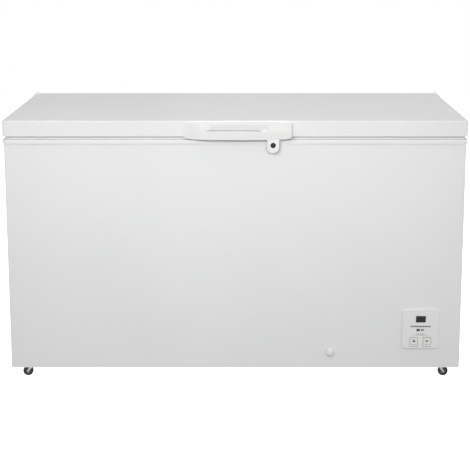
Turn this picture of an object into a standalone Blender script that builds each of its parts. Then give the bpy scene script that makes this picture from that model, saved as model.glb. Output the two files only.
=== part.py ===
"""Chest freezer with a hinged lid, as the pieces it is assembled from.

Metres, +Z up. The front faces -Y and the length runs along X. The origin is on the floor, under
the middle.
"""

import math

import bmesh
import bpy
from mathutils import Matrix, Vector

# Outside
BODY_HALF_X, BODY_HALF_Y = 0.724, 0.3465
LID_HALF_X, LID_HALF_Y = 0.7275, 0.350
SHELL_BOTTOM, SHELL_TOP = 0.045, 0.7769
COLLAR_BOTTOM, COLLAR_TOP = 0.7772, 0.790
LID_BOTTOM, LID_TOP = 0.800, 0.850
FRONT_MOST, REAR_MOST = -0.370, 0.370
SHEET = 0.0008  # steel sheet
GAP = 0.0003  # between pieces that touch
CORNER = 0.008  # upright corners of the cabinet
LID_CORNER = 0.012

# Inside
TUB_HALF_X, TUB_HALF_Y = 0.654, 0.2765
TUB_FLOOR, STEP_FLOOR, STEP_X = 0.120, 0.392, 0.358
TUB_TOP, TUB_CORNER, LINER = 0.7767, 0.022, 0.001
COIL_SPACE = 0.008  # between the liner and the foam
FOAM_HALF_X, FOAM_HALF_Y = 0.7165, 0.339
FOAM_BOTTOM, FOAM_TOP = 0.0475, 0.7754
MACHINE_X, MACHINE_TOP = 0.412, 0.3386  # the compressor's room, under the step

# Lid hinges
HINGE_Y, HINGE_Z, HINGE_X = 0.3585, 0.797, 0.50
PIN, KNUCKLE, EAR = 0.003, 0.006, 0.007
TAIL_Y = 0.367
SPRING_Y, SPRING_LOW, SPRING_HIGH, SPRING_R = 0.362, 0.690, 0.786, 0.006

# Handle and lock
HANDLE_X, HANDLE_HALF = 0.008, 0.169
HANDLE_BOTTOM, HANDLE_TOP, HANDLE_FRONT = 0.7905, 0.846, -0.3695
LOCK_X, LOCK_Z, TAB_HALF = 0.1186, 0.7754, 0.019
CHANNEL_HALF, CHANNEL_FRONT = 0.014, -0.360

# Controls and drain
PANEL_X, PANEL_Z, PANEL_HALF_X, PANEL_HALF_Z = 0.595, 0.175, 0.0595, 0.0655
PANEL_BACK, PANEL_FRONT, PANEL_BEVEL = -0.3468, -0.3515, 0.004
DISPLAY_Z, DISPLAY_HALF_X, DISPLAY_HALF_Z = 0.2081, 0.0160, 0.0109
BUTTON_OFFSET, BUTTON_Z, BUTTON_HALF_X, BUTTON_HALF_Z = 0.0209, 0.133, 0.011, 0.0135
DRAIN_X, DRAIN_Y, DRAIN_Z = 0.304, -0.220, 0.0970
DRAIN_BORE, DRAIN_OUTER = 0.0075, 0.0095

# Casters
SWIVEL_X, SWIVEL_Y = 0.667, 0.291
TRAIL, WHEEL_R, WHEEL_HALF = 0.012, 0.0165, 0.0075
WHEEL_SIDES = 24

# Compressor and basket
COMPRESSOR = (0.575, 0.170)
BASKET_X, BASKET_HALF_X, BASKET_HALF_Y = 0.505, 0.120, 0.262
BASKET_FLOOR, BASKET_RIM = 0.575, 0.784

WHITE_ENAMEL = ((0.86, 0.87, 0.87), 0.32, 0.0)
WHITE_PLASTIC = ((0.88, 0.88, 0.87), 0.42, 0.0)
SOFT_WHITE = ((0.80, 0.80, 0.79), 0.60, 0.0)
BLACK_PLASTIC = ((0.02, 0.02, 0.022), 0.38, 0.0)
BLACK_ENAMEL = ((0.015, 0.015, 0.016), 0.35, 0.2)
DARK_GLASS = ((0.010, 0.012, 0.016), 0.10, 0.0)
ALUMINIUM = ((0.80, 0.81, 0.82), 0.35, 0.9)
GALVANISED = ((0.60, 0.61, 0.62), 0.45, 0.9)
BRIGHT_STEEL = ((0.66, 0.66, 0.67), 0.28, 1.0)
COPPER = ((0.72, 0.40, 0.26), 0.32, 1.0)
FOAM = ((0.82, 0.74, 0.48), 0.90, 0.0)
BOARD_GREEN = ((0.05, 0.22, 0.10), 0.50, 0.0)

PLANES = {"xy": (0, 1, 2), "xz": (0, 2, 1), "yz": (1, 2, 0)}


def clear_scene():
    for old in list(bpy.data.objects):
        bpy.data.objects.remove(old, do_unlink=True)


def in_plane(plane, u, v, w):
    """The point that lies at (u, v) in a plane, at the height w above it."""
    point = [0.0, 0.0, 0.0]
    for axis, value in zip(PLANES[plane], (u, v, w)):
        point[axis] = value
    return tuple(point)


def material(name, look):
    colour, roughness, metallic = look
    made = bpy.data.materials.new(name)
    made.use_nodes = True
    shader = made.node_tree.nodes["Principled BSDF"]
    shader.inputs["Base Color"].default_value = (*colour, 1.0)
    shader.inputs["Roughness"].default_value = roughness
    shader.inputs["Metallic"].default_value = metallic
    return made


def world_place(owner):
    """Where an unturned object stands, through all its parents."""
    place = Vector(owner.location)
    while owner.parent:
        owner = owner.parent
        place += owner.location
    return place


def pivot(name, place, parent=None):
    """An empty on a joint's axis."""
    empty = bpy.data.objects.new(name, None)
    empty.empty_display_size = 0.03
    empty.location = Vector(place) - (world_place(parent) if parent else Vector())
    empty.parent = parent
    bpy.context.scene.collection.objects.link(empty)
    return empty


def add(name, mesh, look, parent=None):
    """A piece whose origin is its parent's, so that a moving piece turns or slides about its joint."""
    place = world_place(parent) if parent else Vector()
    mesh.transform(Matrix.Translation(-place))
    mesh.materials.append(material(name, look))
    mesh.shade_smooth()
    mesh.set_sharp_from_angle(angle=math.radians(35))
    piece = bpy.data.objects.new(name, mesh)
    piece.parent = parent
    bpy.context.scene.collection.objects.link(piece)
    return piece


def combine(piece, mesh, operation):
    """A Boolean with a hidden helper that stands where its mesh says."""
    helper = bpy.data.objects.new(f"{piece.name}.helper", mesh)
    helper.hide_render = True
    helper.display_type = "WIRE"
    bpy.context.scene.collection.objects.link(helper)
    boolean = piece.modifiers.new(operation.title(), "BOOLEAN")
    boolean.operation = operation
    boolean.object = helper


def cut(piece, *meshes):
    for mesh in meshes:
        combine(piece, mesh, "DIFFERENCE")


def fuse(piece, *meshes):
    for mesh in meshes:
        combine(piece, mesh, "UNION")


def lofted(rings, bored=False):
    """A closed mesh through rings of equally many points. Its ends are filled, or joined where bored."""
    bm = bmesh.new()
    loops = [[bm.verts.new(point) for point in ring] for ring in rings]
    following = loops[1:] + loops[:1] if bored else loops[1:]
    for loop, after in zip(loops, following):
        for i in range(len(loop)):
            j = (i + 1) % len(loop)
            bm.faces.new((loop[i], loop[j], after[j], after[i]))
    if not bored:
        bm.faces.new(loops[0])
        bm.faces.new(loops[-1])
    bmesh.ops.recalc_face_normals(bm, faces=bm.faces)
    mesh = bpy.data.meshes.new("mesh")
    bm.to_mesh(mesh)
    bm.free()
    return mesh


def rounded(half_u, half_v, radius, w=0.0, centre=(0.0, 0.0), plane="xy", steps=3):
    """A rectangle with round corners, in a plane."""
    points = []
    for quarter, (su, sv) in enumerate(((1, 1), (-1, 1), (-1, -1), (1, -1))):
        for step in range(steps + 1):
            angle = math.pi / 2 * (quarter + step / steps)
            u = centre[0] + su * (half_u - radius) + radius * math.cos(angle)
            v = centre[1] + sv * (half_v - radius) + radius * math.sin(angle)
            points.append(in_plane(plane, u, v, w))
    return points


def circle(radius, w, centre, plane="xz", sides=20):
    """A ring of points with a flat at its lowest place."""
    angles = [2 * math.pi * (i + 0.5) / sides for i in range(sides)]
    return [
        in_plane(plane, centre[0] + radius * math.cos(a), centre[1] + radius * math.sin(a), w)
        for a in angles
    ]


def turned(profile, centre, plane="xz", sides=20, bored=False):
    """A turned piece: its profile is a list of (radius, place along the axis)."""
    return lofted([circle(r, w, centre, plane, sides) for r, w in profile], bored)


def prism(outline, plane, low, high):
    """An outline in a plane, carried from low to high across it."""
    return lofted([[in_plane(plane, u, v, w) for u, v in outline] for w in (low, high)])


def box(low, high):
    corners = ((low[0], low[1]), (high[0], low[1]), (high[0], high[1]), (low[0], high[1]))
    return prism(corners, "xy", low[2], high[2])


def sheet_outline(path, thickness):
    """The outline of a sheet folded along a path, with its thickness on the path's right."""
    points = [Vector(point) for point in path]
    normals = []
    for start, end in zip(points, points[1:]):
        along = (end - start).normalized()
        normals.append(Vector((along.y, -along.x)))
    inner = []
    for i, point in enumerate(points):
        first, second = normals[max(i - 1, 0)], normals[min(i, len(normals) - 1)]
        mitre = (first + second).normalized()
        inner.append(point + mitre * thickness / mitre.dot(first))
    return [tuple(point) for point in points + inner[::-1]]


def filleted(corners, radius, steps=3):
    """A path of corners with each inner corner rounded."""
    points = [Vector(corner) for corner in corners]
    path = [points[0]]
    for before, corner, after in zip(points, points[1:], points[2:]):
        start = corner + (before - corner).normalized() * radius
        end = corner + (after - corner).normalized() * radius
        for step in range(steps + 1):
            t = step / steps
            path.append(start * (1 - t) ** 2 + corner * 2 * t * (1 - t) + end * t**2)
    return path + [points[-1]]


def tube_along(name, path, radius, look):
    """A round tube as a curve with a bevel and filled caps."""
    curve = bpy.data.curves.new(name, "CURVE")
    curve.dimensions = "3D"
    curve.bevel_depth = radius
    curve.bevel_resolution = 1
    curve.use_fill_caps = True
    spline = curve.splines.new("POLY")
    spline.points.add(len(path) - 1)
    for point, place in zip(spline.points, path):
        point.co = (*place, 1.0)
    curve.materials.append(material(name, look))
    bpy.context.scene.collection.objects.link(bpy.data.objects.new(name, curve))


def tray(half_x, half_y, radius, low, high, thickness, centre=(0.0, 0.0)):
    """An open tray with a flat floor."""
    inside_x, inside_y, inside_r = half_x - thickness, half_y - thickness, radius - thickness
    return lofted(
        [
            rounded(inside_x, inside_y, inside_r, low + thickness, centre),
            rounded(inside_x, inside_y, inside_r, high, centre),
            rounded(half_x, half_y, radius, high, centre),
            rounded(half_x, half_y, radius, low, centre),
        ]
    )


def stepped_outline(grow, top):
    """The tub's side view, grown outwards, with the raised floor over the compressor's room."""
    return (
        (-TUB_HALF_X - grow, TUB_FLOOR - grow),
        (STEP_X + grow, TUB_FLOOR - grow),
        (STEP_X + grow, STEP_FLOOR - grow),
        (TUB_HALF_X + grow, STEP_FLOOR - grow),
        (TUB_HALF_X + grow, top),
        (-TUB_HALF_X - grow, top),
    )


def around_lid(inset, z, radius=LID_CORNER):
    return rounded(LID_HALF_X - inset, LID_HALF_Y - inset, radius, z)


# Cabinet


def make_outer_shell():
    """The front and both ends are one folded sheet, with a flange behind for the back panel."""
    back, flange = 0.3451, 0.014
    corners = (
        (BODY_HALF_X - flange, back),
        (BODY_HALF_X, back),
        (BODY_HALF_X, -BODY_HALF_Y),
        (-BODY_HALF_X, -BODY_HALF_Y),
        (-BODY_HALF_X, back),
        (flange - BODY_HALF_X, back),
    )
    folds = [corners[0], corners[1]]
    folds += [tuple(p) for p in filleted(corners[1:5], CORNER, 4)[1:-1]]
    folds += [corners[4], corners[5]]
    shell = add(
        "outer_shell",
        prism(sheet_outline(folds, SHEET), "xy", SHELL_BOTTOM, SHELL_TOP),
        WHITE_ENAMEL,
    )
    near, far = -BODY_HALF_Y - 0.01, -BODY_HALF_Y + 0.01
    half_x, half_z = PANEL_HALF_X - 0.008, PANEL_HALF_Z - 0.003
    cut(
        shell,
        box((PANEL_X - half_x, near, PANEL_Z - half_z), (PANEL_X + half_x, far, PANEL_Z + half_z)),
        turned([(0.0085, near), (0.0085, far)], (DRAIN_X, DRAIN_Z)),
        box((BODY_HALF_X - 0.01, -0.150, 0.090), (BODY_HALF_X + 0.01, 0.210, 0.290)),
    )


def make_back_panel():
    panel = add(
        "back_panel",
        box((-0.7235, 0.3455, SHELL_BOTTOM), (0.7235, 0.3455 + SHEET, SHELL_TOP)),
        GALVANISED,
    )
    cut(panel, box((0.445, 0.33, 0.075), (0.700, 0.36, 0.315)))


def make_base_pan():
    mesh = tray(0.7226, 0.3443, 0.006, SHELL_BOTTOM + GAP, 0.062, 0.0012, (0.0, -0.0008))
    add("base_pan", mesh, GALVANISED)


def make_cabinet_foam():
    outline = (
        (-FOAM_HALF_X, FOAM_BOTTOM),
        (MACHINE_X, FOAM_BOTTOM),
        (MACHINE_X, MACHINE_TOP),
        (FOAM_HALF_X, MACHINE_TOP),
        (FOAM_HALF_X, FOAM_TOP),
        (-FOAM_HALF_X, FOAM_TOP),
    )
    foam = add("cabinet_foam", prism(outline, "xz", -FOAM_HALF_Y, FOAM_HALF_Y), FOAM)
    grow = LINER + COIL_SPACE
    room = TUB_HALF_Y + grow
    bore = DRAIN_OUTER + 0.001
    cut(
        foam,
        prism(stepped_outline(grow, FOAM_TOP + 0.02), "xz", -room, room),
        box((DRAIN_X - bore, DRAIN_Y - 0.024, DRAIN_Z - bore),
            (DRAIN_X + bore, DRAIN_Y + bore, TUB_FLOOR)),
        turned([(bore, -0.36), (bore, DRAIN_Y)], (DRAIN_X, DRAIN_Z), "xz", 12),
    )


def make_inner_liner():
    """A tub with round edges and a flange, in one thin sheet of aluminium."""
    bm = bmesh.new()
    solid = prism(stepped_outline(0.0, TUB_TOP), "xz", -TUB_HALF_Y, TUB_HALF_Y)
    bm.from_mesh(solid)
    bpy.data.meshes.remove(solid)
    top = [face for face in bm.faces if all(v.co.z > TUB_TOP - 1e-5 for v in face.verts)]
    folds = [edge for edge in bm.edges if not any(edge in face.edges for face in top)]
    bmesh.ops.bevel(bm, geom=folds, offset=TUB_CORNER, segments=3, profile=0.5, affect="EDGES")
    top = [face for face in bm.faces if all(v.co.z > TUB_TOP - 1e-5 for v in face.verts)]
    bmesh.ops.delete(bm, geom=top, context="FACES")
    mouth = [edge for edge in bm.edges if edge.is_boundary]
    flange = bmesh.ops.extrude_edge_only(bm, edges=mouth)["geom"]
    for vert in (item for item in flange if isinstance(item, bmesh.types.BMVert)):
        vert.co.x += math.copysign(0.018, vert.co.x)
        vert.co.y += math.copysign(0.018, vert.co.y)
    bmesh.ops.recalc_face_normals(bm, faces=bm.faces)
    mesh = bpy.data.meshes.new("liner")
    bm.to_mesh(mesh)
    bm.free()
    liner = add("inner_liner", mesh, ALUMINIUM)
    solidify = liner.modifiers.new("Solidify", "SOLIDIFY")
    solidify.thickness = LINER
    solidify.offset = -1.0  # the faces point into the tub, so the sheet grows outwards
    solidify.use_even_offset = True
    cut(liner, turned([(0.008, 0.10), (0.008, 0.14)], (DRAIN_X, DRAIN_Y), "xy", 16))


def make_rim_collar():
    """The frame that closes the foamed wall and carries the lid's seal."""
    profile = (
        (0.0, COLLAR_BOTTOM, LID_CORNER),
        (0.0, COLLAR_TOP - 0.002, LID_CORNER),
        (0.002, COLLAR_TOP, 0.010),
        (0.074, COLLAR_TOP, 0.020),
        (0.077, COLLAR_TOP - 0.003, 0.019),
        (0.077, COLLAR_BOTTOM, 0.019),
    )
    add("rim_collar", lofted([around_lid(*ring) for ring in profile], bored=True), WHITE_PLASTIC)


def make_machine_bulkhead():
    wall, ceiling = MACHINE_X + GAP, MACHINE_TOP - GAP
    outline = sheet_outline(((wall, FOAM_BOTTOM), (wall, ceiling), (0.7222, ceiling)), SHEET)
    add("machine_bulkhead", prism(outline, "xz", -FOAM_HALF_Y, FOAM_HALF_Y), GALVANISED)


def slots(count, low, high, depth, across, height):
    """Level slots, one above the other, as cutters: depth and across are (axis 0 or 1, start, end)."""
    pitch = (high - low) / count
    for i in range(count):
        z = low + pitch * (i + 0.5)
        start, end = [0.0, 0.0, z - height / 2], [0.0, 0.0, z + height / 2]
        for axis, first, last in (depth, across):
            start[axis], end[axis] = first, last
        yield box(start, end)


def make_side_grille():
    """The vent over the opening in the right-hand end."""
    outline = [(u, v) for _, u, v in rounded(0.190, 0.108, 0.008, 0.0, (0.030, 0.190), "yz", 2)]
    plate = prism(outline, "yz", BODY_HALF_X + GAP, LID_HALF_X - 0.001)
    grille = add("side_grille", plate, WHITE_PLASTIC)
    cut(grille, *slots(8, 0.100, 0.280, (0, 0.70, 0.74), (1, -0.140, 0.200), 0.010))


def make_rear_cover():
    """The louvred plate behind the compressor, with the hole for the mains cord."""
    outline = [(u, v) for u, _, v in rounded(0.142, 0.135, 0.006, 0.0, (0.5725, 0.195), "xz", 2)]
    back = BODY_HALF_Y + 2 * GAP
    cover = add("rear_cover", prism(outline, "xz", back, back + 0.0015), GALVANISED)
    cut(cover, *slots(9, 0.140, 0.300, (1, 0.33, 0.36), (0, 0.465, 0.680), 0.006))
    cut(cover, turned([(0.0065, 0.33), (0.0065, 0.36)], (0.470, 0.095)))


def make_cord_gland():
    profile = ((0.0095, 0.3492), (0.0085, 0.3555), (0.0068, 0.3565), (0.0040, 0.3565), (0.0040, 0.3400),
               (0.0078, 0.3400), (0.0078, 0.3440), (0.0060, 0.3450), (0.0060, 0.3492))
    add("cord_gland", turned(profile, (0.470, 0.095), sides=14, bored=True), BLACK_PLASTIC)


def make_compressor():
    """Tray, welded foot plate with its four bushes, the sealed shell and its terminal cover."""
    x, y = COMPRESSOR
    add("compressor_tray", tray(0.122, 0.105, 0.010, 0.0468, 0.0520, 0.0015, (x, y)), GALVANISED)
    plate = lofted([rounded(0.092, 0.078, 0.020, z, (x, y)) for z in (0.0600, 0.0628)])
    feet = add("compressor_feet", plate, BLACK_ENAMEL)
    for sx in (-1, 1):
        for sy in (-1, 1):
            fuse(feet, turned([(0.008, 0.0486), (0.010, 0.0590), (0.007, 0.0660)],
                              (x + sx * 0.076, y + sy * 0.062), "xy", 10))
    levels = ((0.050, 0.0631), (0.064, 0.072), (0.072, 0.090), (0.074, 0.140), (0.076, 0.145),
              (0.076, 0.151), (0.073, 0.156), (0.070, 0.195), (0.058, 0.218), (0.034, 0.230))
    rings = [
        [(x + (px - x) * 1.06, y + (py - y) * 0.86, z) for px, py, z in circle(radius, z, (x, y), "xy", 20)]
        for radius, z in levels
    ]
    add("compressor_shell", lofted(rings), BLACK_ENAMEL)
    outline = [(u, v) for u, v, _ in rounded(0.017, 0.027, 0.006, 0.0, (0.4745, y), steps=2)]
    add("terminal_cover", prism(outline, "xy", 0.105, 0.165), BLACK_PLASTIC)


def make_pipes():
    """Suction and discharge pipes and the filter drier, between the compressor and the two coils."""
    x, y = COMPRESSOR
    suction = ((0.6575, y, 0.130), (0.684, y, 0.130), (0.684, y, 0.300), (0.684, 0.060, 0.300),
               (0.684, 0.060, 0.336))
    tube_along("suction_pipe", filleted(suction, 0.014), 0.0040, COPPER)
    discharge = ((x, 0.1030, 0.110), (x, 0.045, 0.110), (0.705, 0.045, 0.110), (0.705, -0.220, 0.110),
                 (0.705, -0.220, 0.336))
    tube_along("discharge_pipe", filleted(discharge, 0.014), 0.0030, COPPER)
    profile = ((0.0030, 0.150), (0.0030, 0.162), (0.0090, 0.172), (0.0090, 0.245), (0.0030, 0.256),
               (0.0030, 0.300))
    add("drier_filter", turned(profile, (0.670, -0.060), "xy", 14), COPPER)


def make_condenser_coil():
    """Passes of tube behind the front and both ends, joined at alternate ends."""
    x, y, back = 0.7198, -0.3424, 0.300
    levels = [0.720 - 0.065 * i for i in range(6)]
    corners = []
    for i, z in enumerate(levels):
        way = 1 if i % 2 else -1
        corners += [(way * x, back, z), (way * x, y, z), (-way * x, y, z), (-way * x, back, z)]
    tube_along("condenser_coil", filleted(corners, 0.006, 2), 0.0022, COPPER)


def make_evaporator_coil():
    """Tube wound round the tub, from the rim down to the step."""
    x, y = TUB_HALF_X + LINER + 0.004, TUB_HALF_Y + LINER + 0.004
    top, pitch = 0.740, 0.048
    corners = [(0.0, y, top)]
    for turn in range(7):
        for quarter, (sx, sy) in enumerate(((-1, 1), (-1, -1), (1, -1), (1, 1))):
            corners.append((sx * x, sy * y, top - pitch * (turn + (quarter + 0.5) / 4)))
    tube_along("evaporator_coil", filleted(corners, 0.014, 2), 0.0033, ALUMINIUM)


def panel_ring(half_x, half_z, radius, w):
    """A round-cornered rectangle about the control panel's middle, at the depth w."""
    return rounded(half_x, half_z, radius, w, (PANEL_X, PANEL_Z), "xz")


def make_panel_case():
    """The box behind the shell's opening, with the circuit board in it."""
    rim, back = PANEL_BACK + 0.0004, -0.3000
    add("control_box", lofted([
        panel_ring(0.0485, 0.0595, 0.004, back - 0.002),
        panel_ring(0.0485, 0.0595, 0.004, rim),
        panel_ring(0.0505, 0.0615, 0.006, rim),
        panel_ring(0.0505, 0.0615, 0.006, back),
    ]), WHITE_PLASTIC)
    low = (PANEL_X - 0.045, -0.3400, PANEL_Z - 0.056)
    high = (PANEL_X + 0.045, -0.3384, PANEL_Z + 0.056)
    add("control_board", box(low, high), BOARD_GREEN)


def make_fascia():
    """The moulded front with its openings, and the display's window in the upper one."""
    edge = PANEL_HALF_X - PANEL_BEVEL, PANEL_HALF_Z - PANEL_BEVEL
    fascia = add("control_fascia", lofted([
        panel_ring(PANEL_HALF_X, PANEL_HALF_Z, 0.011, PANEL_BACK),
        panel_ring(PANEL_HALF_X, PANEL_HALF_Z, 0.011, PANEL_BACK - 0.0022),
        panel_ring(*edge, 0.008, PANEL_FRONT),
    ]), WHITE_PLASTIC)
    through = (-0.36, -0.34)
    wide, tall = DISPLAY_HALF_X, DISPLAY_HALF_Z
    low = (PANEL_X - wide, through[0], DISPLAY_Z - tall)
    high = (PANEL_X + wide, through[1], DISPLAY_Z + tall)
    cut(fascia, box(low, high))
    for sign in (-1, 1):
        centre = (PANEL_X + sign * BUTTON_OFFSET, BUTTON_Z)
        wide, tall = BUTTON_HALF_X + GAP, BUTTON_HALF_Z + GAP
        cut(fascia, lofted([rounded(wide, tall, 0.0028, w, centre, "xz") for w in through]))
    wide, tall = DISPLAY_HALF_X - GAP, DISPLAY_HALF_Z - GAP
    low = (PANEL_X - wide, PANEL_FRONT + GAP, DISPLAY_Z - tall)
    high = (PANEL_X + wide, -0.3440, DISPLAY_Z + tall)
    add("display_window", box(low, high), DARK_GLASS)


def make_button(side, sign):
    """A key that stands a little proud of the fascia, with a rim behind it."""
    x, back, front = PANEL_X + sign * BUTTON_OFFSET, PANEL_BACK + 0.0004, PANEL_FRONT - 0.0012
    at = pivot(f"button_{side}_travel", (x, PANEL_FRONT - 0.0005, BUTTON_Z))
    rings = [(0.0022, back + 0.0012), (0.0022, back), (0.0, back), (0.0, front + 0.0005), (-0.0006, front)]
    add(f"button_{side}", lofted([
        rounded(BUTTON_HALF_X + grow, BUTTON_HALF_Z + grow, 0.0025, w, (x, BUTTON_Z), "xz")
        for grow, w in rings
    ]), WHITE_PLASTIC, at)


def make_drain_tube():
    """From the tub's floor down through the foam and out at the front."""
    corners = ((DRAIN_X, DRAIN_Y, 0.1187), (DRAIN_X, DRAIN_Y, DRAIN_Z), (DRAIN_X, -0.3452, DRAIN_Z))
    bend = [Vector(point) for point in filleted(corners, 0.020, 5)]
    angles = [2 * math.pi * k / 14 for k in range(14)]
    rings = {DRAIN_OUTER: [], DRAIN_BORE: []}
    for i, point in enumerate(bend):
        ahead = bend[min(i + 1, len(bend) - 1)] - bend[max(i - 1, 0)]
        across = ahead.normalized().cross(Vector((1, 0, 0)))
        for radius, found in rings.items():
            spokes = [Vector((math.cos(a), 0, 0)) + across * math.sin(a) for a in angles]
            found.append([point + radius * spoke for spoke in spokes])
    add("drain_tube", lofted(rings[DRAIN_OUTER] + rings[DRAIN_BORE][::-1], bored=True), WHITE_PLASTIC)


def make_drain_fittings():
    """The plug inside the tub, and outside a spout that pulls out, with the dial that opens it."""
    plug_lift = pivot("drain_plug_lift", (DRAIN_X, DRAIN_Y, TUB_FLOOR))
    plug = ((0.0062, 0.1120), (0.0066, 0.1205), (0.0125, 0.1205), (0.0135, 0.1225), (0.0120, 0.1255),
            (0.0050, 0.1265))
    add("drain_plug", turned(plug, (DRAIN_X, DRAIN_Y), "xy", 18), SOFT_WHITE, plug_lift)

    spout_slide = pivot("drain_spout_slide", (DRAIN_X, -BODY_HALF_Y, DRAIN_Z))
    spout = ((0.0070, -0.3000), (0.0070, -0.3468), (0.0105, -0.3468), (0.0105, -0.3486), (0.0050, -0.3486),
             (0.0050, -0.3000))
    add("drain_spout", turned(spout, (DRAIN_X, DRAIN_Z), sides=16, bored=True), WHITE_PLASTIC, spout_slide)
    dial_turn = pivot("drain_dial_turn", (DRAIN_X, -0.3530, DRAIN_Z), spout_slide)
    profile = ((0.0128, -0.3489), (0.0130, -0.3530), (0.0118, -0.3558), (0.0085, -0.3574),
               (0.0040, -0.3580))
    dial = add("drain_dial", turned(profile, (DRAIN_X, DRAIN_Z), sides=24), WHITE_PLASTIC, dial_turn)
    low = (DRAIN_X - 0.0025, -0.3620, DRAIN_Z - 0.0150)
    high = (DRAIN_X + 0.0025, -0.3500, DRAIN_Z - 0.0095)
    cut(dial, box(low, high))


# Lid


def make_lid_shells(hinge):
    """Steel skin outside, foam between, and a moulded lining whose middle reaches into the tub's mouth."""
    skin = [(0.0068, LID_TOP - SHEET, 0.006), (0.0026, 0.8474, 0.0094), (SHEET, 0.8440, 0.0112),
            (SHEET, LID_BOTTOM, 0.0112), (0.0, LID_BOTTOM, LID_CORNER), (0.0, 0.8440, LID_CORNER),
            (0.0018, 0.8482, 0.0102), (0.0060, LID_TOP, 0.006)]
    add("lid_skin", lofted([around_lid(*ring) for ring in skin]), WHITE_ENAMEL, hinge)
    foam = [(0.0985, 0.7948, 0.020), (0.0885, 0.8026, 0.020), (0.0015, 0.8026, 0.0105),
            (0.0015, 0.8435, 0.0105), (0.0033, 0.8468, 0.0087), (0.0075, 0.8486, 0.006)]
    add("lid_foam", lofted([around_lid(*ring) for ring in foam]), FOAM, hinge)
    lining = [(0.0980, 0.7930, 0.020), (0.0880, 0.8008, 0.020), (0.0015, 0.8008, 0.0105),
              (0.0015, 0.8023, 0.0105), (0.0868, 0.8023, 0.020), (0.0968, 0.7945, 0.020)]
    add("lid_liner", lofted([around_lid(*ring) for ring in lining]), WHITE_PLASTIC, hinge)
    seal = [(0.010, 0.8005), (0.008, 0.7972), (0.010, 0.7938), (0.009, COLLAR_TOP + GAP),
            (0.025, COLLAR_TOP + GAP), (0.024, 0.7938), (0.026, 0.7972), (0.024, 0.8005)]
    ribs = lofted([around_lid(inset, z, 0.012) for inset, z in seal], bored=True)
    add("lid_gasket", ribs, SOFT_WHITE, hinge)


def handle_outline(inset):
    """A long bar with a straight top, a belly below and wide elliptical lower corners."""
    half, top, bottom = HANDLE_HALF - inset, HANDLE_TOP - inset, HANDLE_BOTTOM + inset
    wide, tall, belly, round_top = 0.024, 0.009, 0.003, 0.004
    points = []
    for step in range(4):
        angle = math.pi / 2 * step / 3
        x = half - round_top + round_top * math.cos(angle)
        points.append((x, top - round_top + round_top * math.sin(angle)))
    right = points[::-1]
    for step in range(5):
        angle = math.pi / 2 * step / 4
        x = half - wide + wide * math.cos(angle)
        right.append((x, bottom + belly + tall - tall * math.sin(angle)))
    for step in range(1, 4):
        x = (half - wide) * (1 - step / 4)
        right.append((x, bottom + belly * (x / (half - wide)) ** 2))
    left = [(-x, z) for x, z in right[::-1]]
    return [(HANDLE_X + x, z) for x, z in right + [(0.0, bottom)] + left]


def make_handle(hinge):
    """The front moulding: a grip open from below, with the lock's tab hanging from it."""
    rings = [(0.0, -LID_HALF_Y - GAP), (0.0, HANDLE_FRONT + 0.0025), (0.0022, HANDLE_FRONT)]
    grip = lofted([[(x, w, z) for x, z in handle_outline(inset)] for inset, w in rings])
    handle = add("lid_handle", grip, WHITE_PLASTIC, hinge)
    tab = [(LOCK_X + TAB_HALF, 0.800), (LOCK_X - TAB_HALF, 0.800)]
    for step in range(13):
        angle = math.pi * (1 + step / 12)
        tab.append((LOCK_X + TAB_HALF * math.cos(angle), 0.7699 + TAB_HALF * math.sin(angle)))
    fuse(handle, prism(tab, "xz", HANDLE_FRONT + 0.0002, -LID_HALF_Y - 0.0015))
    cut(
        handle,
        box((HANDLE_X - 0.085, -0.3655, 0.780), (HANDLE_X + 0.085, -0.3515, 0.816)),
        box((LOCK_X - CHANNEL_HALF, CHANNEL_FRONT, 0.740), (LOCK_X + CHANNEL_HALF, -0.3490, 0.792)),
        turned([(0.0085, -0.380), (0.0085, CHANNEL_FRONT + 0.001)], (LOCK_X, LOCK_Z), sides=24),
    )


def make_lock(hinge):
    """The sleeve in the tab, and the key plug with its cam."""
    back = CHANNEL_FRONT - GAP
    sleeve = ((0.0082, FRONT_MOST), (0.0082, back), (0.0054, back), (0.0054, FRONT_MOST))
    add("lock_sleeve", turned(sleeve, (LOCK_X, LOCK_Z), sides=24, bored=True), BLACK_PLASTIC, hinge)
    turn = pivot("lock_turn", (LOCK_X, FRONT_MOST, LOCK_Z), hinge)
    profile = ((0.0051, -0.3694), (0.0051, -0.3600), (0.0040, -0.3600), (0.0040, -0.3545))
    plug = add("lock_cylinder", turned(profile, (LOCK_X, LOCK_Z), sides=18), BRIGHT_STEEL, turn)
    fuse(plug, box((LOCK_X - 0.0035, -0.3585, LOCK_Z - 0.012), (LOCK_X + 0.0035, -0.3555, LOCK_Z)))
    cut(plug, box((LOCK_X - 0.0006, -0.3720, LOCK_Z - 0.0032), (LOCK_X + 0.0006, -0.3650, LOCK_Z + 0.0032)))


def make_striker():
    """The keeper on the cabinet, whose finger the cam turns behind."""
    low, high = (LOCK_X - 0.013, -0.3488, 0.7520), (LOCK_X + 0.013, -0.3468, 0.7766)
    keeper = add("lock_striker", box(low, high), BRIGHT_STEEL)
    fuse(
        keeper,
        box((LOCK_X - 0.0129, -0.3518, 0.7740), (LOCK_X + 0.0129, -0.3478, 0.7764)),
        box((LOCK_X - 0.0128, -0.3518, 0.7741), (LOCK_X + 0.0128, -0.3503, 0.7850)),
        box((LOCK_X - 0.0127, -0.3588, 0.7795), (LOCK_X - 0.0046, -0.3508, 0.7815)),
    )


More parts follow.
